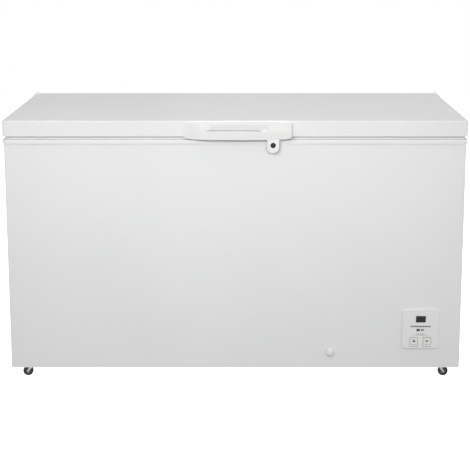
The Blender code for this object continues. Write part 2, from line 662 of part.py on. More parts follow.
def make_hinge(side, x, hinge):
    """Bracket with its pin, leaf with its knuckle and tail, and the spring that helps to lift the lid."""
    low, high = (x - 0.0225, 0.3468, 0.677), (x + 0.0225, 0.3493, 0.775)
    bracket = add(f"hinge_bracket_{side}", box(low, high), BRIGHT_STEEL)
    ear = [(0.3480, 0.678), (0.3620, 0.678), (REAR_MOST, 0.686), (REAR_MOST, 0.770)]
    ear += [(HINGE_Y + EAR * math.cos(a), HINGE_Z + EAR * math.sin(a))
            for a in (math.pi * step / 8 for step in range(9))]
    ear += [(HINGE_Y - EAR, 0.774), (0.3480, 0.772)]
    for sign in (-1, 1):
        inner, outer = sorted((x + sign * 0.0200, x + sign * 0.0224))
        fuse(bracket, prism(ear, "yz", inner, outer))
    for radius, y, z in ((PIN, HINGE_Y, HINGE_Z), (0.0015, SPRING_Y, SPRING_LOW - 0.003)):
        fuse(bracket, turned([(radius, x - 0.0212), (radius, x + 0.0212)], (y, z), "yz", 12))

    plate_y = LID_HALF_Y + GAP
    low, high = (x - 0.0175, plate_y, 0.8015), (x + 0.0175, plate_y + 0.0025, 0.843)
    leaf = add(f"hinge_leaf_{side}", box(low, high), BRIGHT_STEEL, hinge)
    fuse(
        leaf,
        turned([(KNUCKLE, x - 0.0174), (KNUCKLE, x + 0.0174)], (HINGE_Y, HINGE_Z), "yz", 16),
        box((x - 0.0173, plate_y + 0.0002, 0.8018), (x + 0.0173, HINGE_Y, 0.8048)),
        box((x - 0.004, HINGE_Y, HINGE_Z - 0.0012), (x + 0.004, TAIL_Y, HINGE_Z + 0.0012)),
    )
    bore = PIN + GAP
    cut(leaf, turned([(bore, x - 0.03), (bore, x + 0.03)], (HINGE_Y, HINGE_Z), "yz", 16))

    hook = 0.0012
    spring = ((hook, SPRING_LOW - 0.0012), (hook, SPRING_LOW + 0.004), (SPRING_R, SPRING_LOW + 0.005),
              (SPRING_R, SPRING_HIGH - 0.005), (hook, SPRING_HIGH - 0.004), (hook, SPRING_HIGH))
    add(f"hinge_spring_{side}", turned(spring, (x, SPRING_Y), "xy", 12), BRIGHT_STEEL)


def make_lid_bumper(side, sign, hinge):
    """The stud behind the lid's rear corner, which keeps the open lid off the wall."""
    inner, outer = sorted((sign * 0.7165, sign * LID_HALF_X))
    centre = ((inner + outer) / 2, 0.8375)
    rings = [rounded(0.0055, 0.0175, 0.003, 0.3503, centre, "xz", 2),
             rounded(0.0055, 0.0175, 0.003, 0.3565, centre, "xz", 2),
             rounded(0.0040, 0.0160, 0.002, 0.3585, centre, "xz", 2)]
    add(f"lid_bumper_{side}", lofted(rings), WHITE_PLASTIC, hinge)


# Casters


def make_caster(place, x, y):
    """Top plate with its kingpin, fork with its axle, and the wheel, which trails outwards."""
    way = math.copysign(1, x)
    hub = x + way * TRAIL
    low, high = (x - 0.020, y - 0.020, 0.0427), (x + 0.020, y + 0.020, SHELL_BOTTOM)
    plate = add(f"caster_plate_{place}", box(low, high), GALVANISED)
    kingpin = ((0.009, 0.0435), (0.009, 0.0398), (0.003, 0.0398), (0.003, 0.0350), (0.005, 0.0350),
               (0.005, 0.0338))
    fuse(plate, turned(kingpin, (x, y), "xy", 14))
    swivel = pivot(f"caster_swivel_{place}", (x, y, 0.040))
    top = (0.0364, 0.0392)
    low, high = sorted((x - way * 0.010, x + way * 0.016))
    crown = box((low, y - 0.0112, top[0]), (high, y + 0.0112, top[1]))
    fork = add(f"caster_fork_{place}", crown, GALVANISED, swivel)
    cheek = [(x - way * 0.0098, top[1] - 0.0002), (x - way * 0.0098, top[0] - 0.003)]
    arc = [math.pi + math.pi * step / 8 for step in range(9)]
    cheek += [(hub + way * 0.0055 * math.cos(a), WHEEL_R + 0.0055 * math.sin(a)) for a in arc]
    cheek += [(x + way * 0.004, top[1] - 0.0002)]
    for sign in (-1, 1):
        inner, outer = sorted((y + sign * 0.0092, y + sign * 0.0110))
        fuse(fork, prism(cheek, "xz", inner, outer))
    fuse(fork, turned(((0.0025, y - 0.0125), (0.0025, y + 0.0125)), (hub, WHEEL_R), sides=12))
    cut(fork, turned(((0.0034, 0.030), (0.0034, 0.045)), (x, y), "xy", 14))

    spin = pivot(f"caster_spin_{place}", (hub, y, WHEEL_R), swivel)
    tread = WHEEL_R / math.cos(math.pi / WHEEL_SIDES)
    half = WHEEL_HALF
    wheel = ((0.0028, y - half), (tread - 0.0035, y - half), (tread, y - half + 0.0025),
             (tread, y + half - 0.0025), (tread - 0.0035, y + half), (0.0028, y + half))
    mesh = turned(wheel, (hub, WHEEL_R), sides=WHEEL_SIDES, bored=True)
    add(f"caster_wheel_{place}", mesh, BLACK_PLASTIC, spin)


# Basket


def make_basket():
    """The hanging basket as thin walls, with an ear at each side that rests on the rim."""
    slide = pivot("basket_slide", (BASKET_X, 0.0, BASKET_RIM))
    basket = add("storage_basket", lofted([
        rounded(BASKET_HALF_X - 0.019, BASKET_HALF_Y - 0.019, 0.016, BASKET_FLOOR + 0.004, (BASKET_X, 0.0)),
        rounded(BASKET_HALF_X - 0.004, BASKET_HALF_Y - 0.004, 0.016, BASKET_RIM, (BASKET_X, 0.0)),
        rounded(BASKET_HALF_X, BASKET_HALF_Y, 0.020, BASKET_RIM, (BASKET_X, 0.0)),
        rounded(BASKET_HALF_X - 0.015, BASKET_HALF_Y - 0.015, 0.020, BASKET_FLOOR, (BASKET_X, 0.0)),
    ]), WHITE_PLASTIC, slide)
    for sign in (-1, 1):
        path = [(sign * 0.2600, 0.7800), (sign * 0.2600, 0.7935), (sign * 0.2900, 0.7935)]
        outline = sheet_outline(path, sign * 0.003)
        fuse(basket, prism(outline, "yz", BASKET_X - 0.070, BASKET_X + 0.070))


def main():
    clear_scene()
    make_outer_shell()
    make_back_panel()
    make_base_pan()
    make_cabinet_foam()
    make_inner_liner()
    make_rim_collar()
    make_machine_bulkhead()
    make_side_grille()
    make_rear_cover()
    make_cord_gland()
    make_compressor()
    make_pipes()
    make_condenser_coil()
    make_evaporator_coil()
    make_panel_case()
    make_fascia()
    make_drain_tube()
    make_drain_fittings()
    hinge = pivot("lid_hinge", (0.0, HINGE_Y, HINGE_Z))
    make_lid_shells(hinge)
    make_handle(hinge)
    make_lock(hinge)
    make_striker()
    for side, sign in (("left", -1), ("right", 1)):
        make_button(side, sign)
        make_hinge(side, sign * HINGE_X, hinge)
        make_lid_bumper(side, sign, hinge)
    for end, sy in (("front", -1), ("rear", 1)):
        for side, sx in (("left", -1), ("right", 1)):
            make_caster(f"{end}_{side}", sx * SWIVEL_X, sy * SWIVEL_Y)
    make_basket()


main()
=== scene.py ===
import math

import bmesh
import bpy
import numpy as np
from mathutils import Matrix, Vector
from mathutils.geometry import delaunay_2d_cdt


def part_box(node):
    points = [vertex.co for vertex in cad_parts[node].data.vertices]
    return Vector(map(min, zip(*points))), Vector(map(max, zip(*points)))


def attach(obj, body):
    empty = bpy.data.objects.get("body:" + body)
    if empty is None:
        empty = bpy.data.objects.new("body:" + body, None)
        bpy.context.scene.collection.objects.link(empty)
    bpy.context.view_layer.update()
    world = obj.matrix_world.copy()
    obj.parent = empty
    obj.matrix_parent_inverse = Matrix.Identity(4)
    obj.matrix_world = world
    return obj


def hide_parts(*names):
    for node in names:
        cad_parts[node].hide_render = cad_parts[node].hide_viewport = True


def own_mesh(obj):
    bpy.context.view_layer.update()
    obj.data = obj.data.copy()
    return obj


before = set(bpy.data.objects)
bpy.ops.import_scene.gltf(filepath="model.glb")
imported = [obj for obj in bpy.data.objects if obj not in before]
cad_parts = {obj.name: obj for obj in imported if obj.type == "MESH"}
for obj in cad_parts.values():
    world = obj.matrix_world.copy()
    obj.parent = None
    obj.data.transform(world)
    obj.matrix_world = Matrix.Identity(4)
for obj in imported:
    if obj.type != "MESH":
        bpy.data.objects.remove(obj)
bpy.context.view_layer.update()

scene = bpy.context.scene
print("frame loaded:", len(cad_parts), "nodes")


# One value inside a material. Arithmetic on it adds Math nodes.
class Flow:
    def __init__(self, finish, socket):
        self.finish, self.socket = finish, socket

    def maths(self, operation, first, second):
        return self.finish.node("Math", {"operation": operation}, {0: first, 1: second})

    def __add__(self, other):
        return self.maths("ADD", self, other)

    def __sub__(self, other):
        return self.maths("SUBTRACT", self, other)

    def __rsub__(self, other):
        return self.maths("SUBTRACT", other, self)

    def __mul__(self, other):
        return self.maths("MULTIPLY", self, other)

    __radd__, __rmul__ = __add__, __mul__


class Finish:
    def __init__(self, name, settings):
        self.material = bpy.data.materials.new(name)
        self.material.use_nodes = True
        self.tree = self.material.node_tree
        self.shader = self.tree.nodes["Principled BSDF"]
        for socket, value in settings.items():
            self.shader.inputs[socket].default_value = value
        self.place = self.node("TexCoord", {}, {}, "Object")

    # Any node: its type, its settings, then a value or a link for each socket.
    def node(self, kind, settings, sockets, out=0):
        made = self.tree.nodes.new("ShaderNode" + kind)
        for key, value in settings.items():
            setattr(made, key, value)
        for key, value in sockets.items():
            if isinstance(value, Flow):
                self.tree.links.new(value.socket, made.inputs[key])
            else:
                made.inputs[key].default_value = value
        return Flow(self, made.outputs[out])

    # Grain of a given size in metres, between 0 and 1, which may be drawn out along an axis.
    def grain(self, size, detail=2.0, stretch=(1.0, 1.0, 1.0)):
        where = self.node("Mapping", {}, {"Vector": self.place, "Scale": stretch})
        return self.node("TexNoise", {}, {"Vector": where, "Scale": 1 / size, "Detail": detail})

    # One random value for each cell of a given size.
    def cells(self, size, out="Color"):
        colour = self.node("TexVoronoi", {}, {"Vector": self.place, "Scale": 1 / size}, out)
        if out == "Distance":
            return colour
        return self.node("SeparateColor", {}, {0: colour})

    # 0 below the low value, 1 above the high one, and a smooth step from one to the other.
    def between(self, value, low, high):
        return self.node("MapRange", {"interpolation_type": "SMOOTHSTEP"}, {0: value, 1: low, 2: high})

    def tint(self, factor, first, second):
        return self.node("Mix", {"data_type": "RGBA"}, {0: factor, 6: (*first, 1), 7: (*second, 1)}, 2)

    def feed(self, socket, value):
        self.tree.links.new(value.socket, self.shader.inputs[socket])

    # Relief from several heights, each with its depth in metres.
    def relief(self, *layers):
        normal = None
        for height, depth in layers:
            sockets = {"Height": height, "Distance": depth}
            if normal:
                sockets["Normal"] = normal
            normal = self.node("Bump", {}, sockets)
        self.feed("Normal", normal)


# Baked enamel on sheet steel: orange peel, a faint waviness of the sheet, and a little dust in its tone.
def enamel(name, light, dark, gloss=0.30):
    made = Finish(name, {"Coat Weight": 0.25, "Coat Roughness": 0.18, "Specular IOR Level": 0.45})
    broad, peel = made.grain(0.45, 2.0), made.grain(0.0035, 2.0)
    made.feed("Base Color", made.tint(made.between(broad, 0.3, 0.7), light, dark))
    made.feed("Roughness", gloss + 0.08 * made.grain(0.06, 3.0))
    made.relief((broad, 0.0015), (peel, 0.000012))
    return made


# Moulded plastic: a fine spark-eroded grain and a slight unevenness of gloss.
def moulded(name, light, dark, gloss=0.42, texture=0.00002, shine=0.45):
    made = Finish(name, {"Specular IOR Level": shine})
    made.feed("Base Color", made.tint(made.grain(0.08, 3.0), light, dark))
    made.feed("Roughness", gloss - 0.06 + 0.12 * made.grain(0.012, 3.0))
    made.relief((made.grain(0.0011, 3.0), texture), (made.grain(0.03, 1.0), 0.0001))
    return made


# Sheet metal with a grain drawn out one way, as rolling or brushing leaves it.
def rolled(name, light, dark, gloss, stretch, metal=1.0):
    made = Finish(name, {"Metallic": metal})
    lines = made.grain(0.003, 4.0, stretch)
    made.feed("Base Color", made.tint(lines, light, dark))
    made.feed("Roughness", gloss + 0.16 * lines + 0.08 * made.grain(0.02, 2.0))
    made.relief((lines, 0.00002))
    return made


# Zinc-coated steel: each crystal of the spangle has its own tone and gloss.
def spangled(name, size=0.009):
    made = Finish(name, {"Metallic": 0.9})
    crystal, cloud = made.cells(size), made.grain(0.05, 4.0)
    tone = 0.65 * crystal + 0.35 * cloud
    made.feed("Base Color", made.tint(tone, (0.42, 0.43, 0.44), (0.66, 0.67, 0.68)))
    made.feed("Roughness", 0.30 + 0.22 * tone)
    made.relief((crystal, 0.00001), (made.grain(0.0012, 3.0), 0.000008))
    return made


# Aluminium embossed in a stucco pattern: rounded pillows between shallow creases, with painted shade
# darkening the base colour towards the creases.
def stucco(name):
    made = Finish(name, {"Metallic": 0.85})
    pillows = made.between(made.cells(0.0065, "Distance"), 0.1, 0.62)
    # The base colour darkens from each pillow's middle out to the creases: painted shade in the creases.
    made.feed("Base Color", made.tint(pillows, (0.80, 0.81, 0.82), (0.62, 0.63, 0.64)))
    made.feed("Roughness", 0.30 + 0.14 * made.grain(0.05, 3.0))
    made.relief((pillows, 0.0004), (made.grain(0.002, 2.0), 0.00003))
    return made


# Drawn copper with brown tarnish in clouds.
def tarnished(name):
    made = Finish(name, {"Metallic": 1.0})
    cloud = made.between(made.grain(0.02, 5.0), 0.35, 0.7)
    made.feed("Base Color", made.tint(cloud, (0.78, 0.42, 0.27), (0.34, 0.17, 0.10)))
    made.feed("Roughness", 0.24 + 0.3 * cloud)
    made.relief((made.grain(0.001, 3.0), 0.00001))
    return made


# Blown foam: open pores of two sizes. The base colour is a random tone from a grain, with painted shade
# darkening the middle of each pore.
def foamed(name):
    made = Finish(name, {"Roughness": 0.9})
    pores = made.between(made.cells(0.0035, "Distance"), 0.0, 0.5)
    # Darkest in the middle of each pore: painted shade in the pits, mixed with a random tone from the grain.
    made.feed("Base Color", made.tint(pores * made.grain(0.05, 3.0), (0.62, 0.50, 0.27), (0.86, 0.76, 0.48)))
    made.relief((pores, 0.0006), (made.grain(0.0015, 2.0), 0.0002))
    return made


# Rubber of the wheels: grey scuffs where the tread has rolled over a floor.
def scuffed(name):
    made = Finish(name, {"Specular IOR Level": 0.28})
    scuffs = made.between(made.grain(0.004, 4.0, (1.0, 0.35, 1.0)), 0.52, 0.72)
    made.feed("Base Color", made.tint(scuffs, (0.004, 0.004, 0.005), (0.018, 0.018, 0.019)))
    made.feed("Roughness", 0.42 + 0.3 * scuffs)
    made.relief((made.grain(0.0012, 2.0), 0.00003))
    return made


# Circuit board: tracks as a grid of thin copper lines under green lacquer.
def lacquered(name):
    made = Finish(name, {"Coat Weight": 0.6})
    bricks = made.node("Mapping", {}, {"Vector": made.place, "Rotation": (math.pi / 2, 0, 0)})
    tracks = made.node("TexBrick", {}, {"Vector": bricks, "Scale": 90.0, "Mortar Size": 0.012}, "Fac")
    made.feed("Base Color", made.tint(tracks, (0.02, 0.16, 0.07), (0.07, 0.34, 0.15)))
    made.feed("Roughness", 0.35 + 0.2 * tracks)
    made.relief((tracks, 0.00006))
    return made


whiteEnamel = enamel("whiteEnamel", (0.810, 0.812, 0.812), (0.785, 0.788, 0.790))
blackEnamel = enamel("blackEnamel", (0.012, 0.012, 0.013), (0.030, 0.030, 0.031), 0.26)
whitePlastic = moulded("whitePlastic", (0.825, 0.825, 0.820), (0.800, 0.800, 0.795))
gripPlastic = moulded("gripPlastic", (0.775, 0.775, 0.771), (0.752, 0.752, 0.747))
lidLining = moulded("lidLining", (0.84, 0.845, 0.85), (0.80, 0.805, 0.81), 0.30, 0.00001)
sealRubber = moulded("sealRubber", (0.800, 0.800, 0.795), (0.744, 0.744, 0.735), 0.58, 0.00005)
blackPlastic = moulded("blackPlastic", (0.008, 0.008, 0.009), (0.014, 0.014, 0.015), 0.26, 0.00002, 0.35)
darkWindow = moulded("darkWindow", (0.007, 0.009, 0.012), (0.010, 0.012, 0.016), 0.12, 0.000001, 0.25)
wheelPlastic = scuffed("wheelPlastic")
darkPrint = moulded("darkPrint", (0.035, 0.036, 0.040), (0.060, 0.061, 0.066), 0.5)
greyPrint = moulded("greyPrint", (0.33, 0.33, 0.34), (0.42, 0.42, 0.43), 0.5)
dimSegment = moulded("dimSegment", (0.012, 0.016, 0.020), (0.015, 0.020, 0.025), 0.3, 0.000001, 0.15)
coatedWire = moulded("coatedWire", (0.80, 0.80, 0.795), (0.74, 0.74, 0.735), 0.24, 0.00004)
embossedAluminium = stucco("embossedAluminium")
bareAluminium = rolled("bareAluminium", (0.80, 0.81, 0.82), (0.64, 0.65, 0.66), 0.26, (1, 1, 0.1), 0.95)
brightSteel = rolled("brightSteel", (0.70, 0.70, 0.71), (0.46, 0.46, 0.47), 0.20, (0.15, 1, 1))
lockSteel = rolled("lockSteel", (0.05, 0.05, 0.055), (0.025, 0.025, 0.03), 0.18, (1, 1, 0.2), 0.6)
dullSteel = rolled("dullSteel", (0.50, 0.50, 0.51), (0.32, 0.32, 0.33), 0.34, (0.3, 1, 1), 0.85)
greyPlastic = moulded("greyPlastic", (0.13, 0.13, 0.135), (0.09, 0.09, 0.095), 0.45)
galvanisedSteel = spangled("galvanisedSteel")
copper = tarnished("copper")
foam = foamed("foam")
board = lacquered("board")
print("finishes made:", len(bpy.data.materials))


axesOf = {"xy": (0, 1, 2), "xz": (0, 2, 1), "yz": (1, 2, 0)}


# Points at (u, v) in a plane and w across it, as arrays that broadcast together.
def inPlane(plane, u, v, w):
    made = np.empty(np.broadcast(u, v, w).shape + (3,))
    for axis, value in zip(axesOf[plane], (u, v, w)):
        made[..., axis] = value
    return made


# Corners rounded by arcs drawn as quadratic curves: (1-t)^2 start + 2t(1-t) corner + t^2 end.
def eased(corners, radii, steps=6):
    points = np.array(corners, float)
    radii = np.broadcast_to(radii, len(points) - 2)
    t = np.linspace(0, 1, steps + 1)[:, None]
    pieces = [points[:1]]
    for before, corner, after, radius in zip(points, points[1:], points[2:], radii):
        start = corner + (before - corner) / np.linalg.norm(before - corner) * radius
        end = corner + (after - corner) / np.linalg.norm(after - corner) * radius
        pieces.append(start * (1 - t) ** 2 + corner * 2 * t * (1 - t) + end * t**2)
    return np.vstack(pieces + [points[-1:]])


# A round-cornered rectangle: each corner's centre plus the radius times (cos, sin) of an angle.
# The inset may be a column, which draws one rectangle for each of its values.
def rectangle(halfU, halfV, radius, inset=0.0, steps=8):
    quarter = np.repeat(np.arange(4), steps + 1)
    angle = math.pi / 2 * (quarter + np.tile(np.linspace(0, 1, steps + 1), 4))
    signU, signV = np.array([1, -1, -1, 1])[quarter], np.array([1, 1, -1, -1])[quarter]
    inset = np.asarray(inset, float)
    left = np.maximum(radius - inset, 0.0004)
    u = signU * (halfU - inset - left) + left * np.cos(angle)
    v = signV * (halfV - inset - left) + left * np.sin(angle)
    return u, v


# One round-cornered rectangle as a loop of points.
def outline(halfU, halfV, radius, centre=(0.0, 0.0), steps=6):
    u, v = rectangle(halfU, halfV, radius, 0.0, steps)
    return np.stack([u + centre[0], v + centre[1]], -1)


# A closed loop at the radius times 1 + swell * |cos|^sharp, where the cosine makes as many lobes as asked.
def disc(radius, centre, sides=32, lobes=0, swell=0.0, sharp=1.0):
    angle = np.linspace(0, 2 * math.pi, sides, endpoint=False)
    reach = radius * (1 + swell * np.abs(np.cos(lobes / 2 * (angle - math.pi / 2))) ** sharp)
    return np.stack([centre[0] + reach * np.cos(angle), centre[1] + reach * np.sin(angle)], -1)


# The quads of a grid of points, which may close on itself either way or be capped at its first and last row.
def grid(points, wrapRows=False, wrapCols=False, caps=False):
    rows, cols = points.shape[:2]
    r = np.arange(rows if wrapRows else rows - 1)[:, None]
    c = np.arange(cols if wrapCols else cols - 1)[None, :]
    nextR, nextC = (r + 1) % rows, (c + 1) % cols
    corners = (r * cols + c, r * cols + nextC, nextR * cols + nextC, nextR * cols + c)
    faces = np.stack(np.broadcast_arrays(*corners), -1).reshape(-1, 4).tolist()
    if caps:
        faces += [list(range(cols)), list(range((rows - 1) * cols, rows * cols))]
    return points.reshape(-1, 3), faces


# A profile of (inset, height) carried round a round-cornered rectangle.
def carriedRound(halfU, halfV, radius, profile, centre=(0.0, 0.0), plane="xy", steps=8, **ends):
    profile = np.array(profile, float)
    u, v = rectangle(halfU, halfV, radius, profile[:, :1], steps)
    return grid(inPlane(plane, u + centre[0], v + centre[1], profile[:, 1:]), wrapCols=True, **ends)


# A profile of (radius, place along the axis) turned about the axis; stretch makes it oval.
def turned(profile, centre, plane="xz", sides=48, stretch=(1.0, 1.0), **ends):
    profile = np.array(profile, float)
    angle = 2 * math.pi * (np.arange(sides) + 0.5) / sides
    u = centre[0] + profile[:, :1] * np.cos(angle) * stretch[0]
    v = centre[1] + profile[:, :1] * np.sin(angle) * stretch[1]
    return grid(inPlane(plane, u, v, profile[:, 1:]), wrapCols=True, **ends)


# A round tube: at each point of the path, a circle in the plane of (path x up) and its
# normal. The up direction is one for the whole path or one for each of its points.
def tube(path, radius, up, sides=8, closed=False):
    path = np.array(path, float)
    if closed:
        along = np.roll(path, -1, 0) - np.roll(path, 1, 0)
    else:
        along = np.gradient(path, axis=0)
    along /= np.linalg.norm(along, axis=1, keepdims=True)
    side = np.cross(along, np.array(up, float))
    side /= np.linalg.norm(side, axis=1, keepdims=True)
    over = np.cross(side, along)
    angle = np.linspace(0, 2 * math.pi, sides, endpoint=False)[None, :, None]
    points = path[:, None] + radius * (side[:, None] * np.cos(angle) + over[:, None] * np.sin(angle))
    return grid(points, wrapRows=closed, wrapCols=True, caps=not closed)


# Which of the points lie inside a convex loop: every edge's cross product with them has one sign.
def within(loop, points):
    edge = np.roll(loop, -1, 0) - loop
    reach = points[:, None] - loop[None]
    cross = edge[:, 0] * reach[..., 1] - edge[:, 1] * reach[..., 0]
    return (cross > 0).all(1) | (cross < 0).all(1)


# A sheet with convex openings. Its rings lead from the front outline to the back one, each at its own depth,
# and every opening is a wall between the first depth and the last. bend turns (u, v, depth) into points.
def plate(rings, openings=(), plane="xz", folds=(), bend=None):
    bend = bend or (lambda u, v, w: inPlane(plane, u, v, w))
    openings = [np.array(opening) for opening in openings]
    made = []
    for ring, depth in (rings[0], rings[-1]):
        flat, edges = [], []
        for loop in (np.array(ring), *openings):
            edges += [(len(flat) + i, len(flat) + (i + 1) % len(loop)) for i in range(len(loop))]
            flat += [Vector(point) for point in loop]
        for fold in folds:
            edges.append((len(flat), len(flat) + 1))
            flat += [Vector(point) for point in fold]
        spread, _, faces = delaunay_2d_cdt(flat, edges, [], 1, 1e-6)[:3]
        spread, faces = np.array(spread), np.array([list(face) for face in faces])
        middle = spread[faces].mean(1)
        for opening in openings:
            kept = ~within(opening, middle)
            faces, middle = faces[kept], middle[kept]
        made.append((bend(spread[:, 0], spread[:, 1], depth), faces.tolist()))
    depths = [depth for _, depth in rings]
    walls = np.stack([bend(*np.array(ring).T, depth) for ring, depth in rings])
    made.append(grid(walls, wrapCols=True))
    for opening in openings:
        u, v = opening.T
        made.append(grid(np.stack([bend(u, v, depth) for depth in (depths[0], depths[-1])]), wrapCols=True))
    return made


# A flat shape carried straight from one depth to another, with both ends closed.
def prism(shape, low, high, plane="xz"):
    u, v = np.array(shape, float).T
    return grid(inPlane(plane, u, v, np.array([[low], [high]])), wrapCols=True, caps=True)


# A pan-head screw: a domed head with a cross recess of two crossed grooves left as a shallow star.
def screw(centre, face, way, plane="xz", radius=0.0042):
    star = disc(radius * 0.28, centre, 32, 4, 1.0, 6.0)
    dome = [(radius, face), (radius, face + way * 0.0008), (radius * 0.86, face + way * 0.0019),
            (radius * 0.58, face + way * 0.0024)]
    u, v = star.T
    angle = 2 * math.pi * (np.arange(32) + 0.5) / 32
    rings = [inPlane(plane, centre[0] + r * np.cos(angle), centre[1] + r * np.sin(angle), w)
             for r, w in dome]
    rings += [inPlane(plane, u, v, face + way * 0.0024), inPlane(plane, u, v, face + way * 0.0010)]
    return grid(np.stack(rings), wrapCols=True, caps=True)


# The mesh becomes an object that rides on its body, with its finish, smooth shading and even normals.
def finished(name, mesh, finish, body, replaces, bevel, smooth):
    mesh.materials.clear()
    mesh.materials.append(finish.material)
    mesh.shade_smooth()
    mesh.set_sharp_from_angle(angle=math.radians(smooth))
    piece = bpy.data.objects.new(name, mesh)
    scene.collection.objects.link(piece)
    if bevel:
        edge = piece.modifiers.new("Bevel", "BEVEL")
        edge.width, edge.segments, edge.limit_method = bevel, 2, "ANGLE"
        edge.angle_limit = math.radians(35)
    even = piece.modifiers.new("WeightedNormal", "WEIGHTED_NORMAL")
    even.keep_sharp = True
    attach(piece, body)
    if replaces:
        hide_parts(*replaces)
    return piece


# Surfaces become one piece: doubles merged, faces without area dropped, the others turned outwards.
def build(name, patches, finish, body, replaces=(), bevel=0.0, smooth=38):
    points, faces, start = [], [], 0
    for patch, corners in patches:
        points.append(patch)
        faces += [[i + start for i in face] for face in corners]
        start += len(patch)
    mesh = bpy.data.meshes.new(name)
    mesh.from_pydata(np.concatenate(points).tolist(), [], faces)
    bm = bmesh.new()
    bm.from_mesh(mesh)
    bmesh.ops.remove_doubles(bm, verts=bm.verts, dist=2e-6)
    bmesh.ops.dissolve_degenerate(bm, dist=1e-6, edges=bm.edges)
    bmesh.ops.recalc_face_normals(bm, faces=bm.faces)
    bm.to_mesh(mesh)
    bm.free()
    return finished(name, mesh, finish, body, replaces, bevel, smooth)


# A node's own shape, with its doubles merged and its edges broken by a small bevel or rounded by subdivision.
def softened(name, node, finish, body, bevel=0.0004, levels=0):
    bm = bmesh.new()
    bm.from_mesh(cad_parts[node].data)
    bmesh.ops.remove_doubles(bm, verts=bm.verts, dist=2e-6)
    mesh = bpy.data.meshes.new(name)
    bm.to_mesh(mesh)
    bm.free()
    piece = finished(name, mesh, finish, body, (node,), 0.0 if levels else bevel, 38)
    if levels:
        rounding = piece.modifiers.new("Subdivision", "SUBSURF")
        rounding.levels = rounding.render_levels = levels
    return piece


# 3t^2 - 2t^3, where t runs from 0 at the low value to 1 at the high one.
def smoothStep(value, low, high):
    t = np.clip((value - low) / (high - low), 0, 1)
    return t * t * (3 - 2 * t)


shell = {"corner": 0.008, "sheet": 0.0008, "flange": 0.014, "panelMargin": (0.008, 0.003),
         "drainHole": 0.0085, "ventY": (-0.150, 0.210), "ventZ": (0.090, 0.290)}


# One sheet: its width runs along the path flange, end, front, end, flange, and bends at two round corners.
def makeShell():
    low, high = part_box("outer_shell")
    corner, flange = shell["corner"], shell["flange"]
    path = eased([(low.x + flange, high.y), (low.x, high.y), (low.x, low.y), (high.x, low.y),
                  (high.x, high.y), (high.x - flange, high.y)], (0.002, corner, corner, 0.002), 8)
    along = np.gradient(path, axis=0)
    along /= np.linalg.norm(along, axis=1, keepdims=True)
    place = np.concatenate([[0.0], np.cumsum(np.linalg.norm(np.diff(path, axis=0), axis=1))])

    def bend(u, v, depth):
        x, y = (np.interp(u, place, path[:, i]) for i in (0, 1))
        inX, inY = (np.interp(u, place, side) for side in (-along[:, 1], along[:, 0]))
        return np.stack(np.broadcast_arrays(x + inX * depth, y + inY * depth, v), -1)

    frontStart = place[np.argmin(np.hypot(path[:, 0] - low.x - corner, path[:, 1] - low.y))]
    endStart = place[np.argmin(np.hypot(path[:, 0] - high.x, path[:, 1] - low.y - corner))]
    panelLow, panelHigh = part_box("control_fascia")
    marginX, marginZ = shell["panelMargin"]
    half = ((panelHigh.x - panelLow.x) / 2 - marginX, (panelHigh.z - panelLow.z) / 2 - marginZ)
    dialLow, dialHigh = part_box("drain_dial")

    def onFront(x):
        return frontStart + x - low.x - corner

    panelHole = outline(*half, 0.004, (onFront((panelLow.x + panelHigh.x) / 2),
                                       (panelLow.z + panelHigh.z) / 2))
    drainHole = disc(shell["drainHole"], (onFront((dialLow.x + dialHigh.x) / 2),
                                          (dialLow.z + dialHigh.z) / 2))
    (y0, y1), (z0, z1) = shell["ventY"], shell["ventZ"]
    ventHole = outline((y1 - y0) / 2, (z1 - z0) / 2, 0.006,
                       (endStart + (y0 + y1) / 2 - low.y - corner, (z0 + z1) / 2))
    edge = [(u, low.z) for u in place] + [(u, high.z) for u in place[::-1]]
    folds = [((u, low.z), (u, high.z)) for u in place[1:-1]]
    openings = (panelHole, drainHole, ventHole)
    build("cabinet_shell", plate([(edge, 0.0), (edge, shell["sheet"])], openings, folds=folds, bend=bend),
          whiteEnamel, "cabinet", ("outer_shell",))


collar = {"width": 0.077, "corner": 0.012, "outerRound": 0.0016, "innerRound": 0.003, "land": (0.030, 0.034),
          "groove": 0.0006}


# A frame round the mouth: outer wall, rounded shoulder, flat land with a shallow groove, rounded inner edge.
def makeCollar():
    low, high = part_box("rim_collar")
    width, groove = collar["width"], high.z - collar["groove"]
    first, last = collar["land"]
    profile = eased([(0.0, low.z), (0.0, high.z), (first, high.z), (first + 0.0006, groove),
                     (last - 0.0006, groove), (last, high.z), (width, high.z), (width, low.z)],
                    (collar["outerRound"], 0.0002, 0.0002, 0.0002, 0.0002, collar["innerRound"]))
    build("rim_collar_moulded", [carriedRound(high.x, high.y, collar["corner"], profile, wrapRows=True)],
          whitePlastic, "cabinet", ("rim_collar",))


tub = {"corner": 0.022, "sheet": 0.001, "flange": 0.018, "mouth": (0.654, 0.2765), "floor": 0.120,
       "step": (0.358, 0.392)}


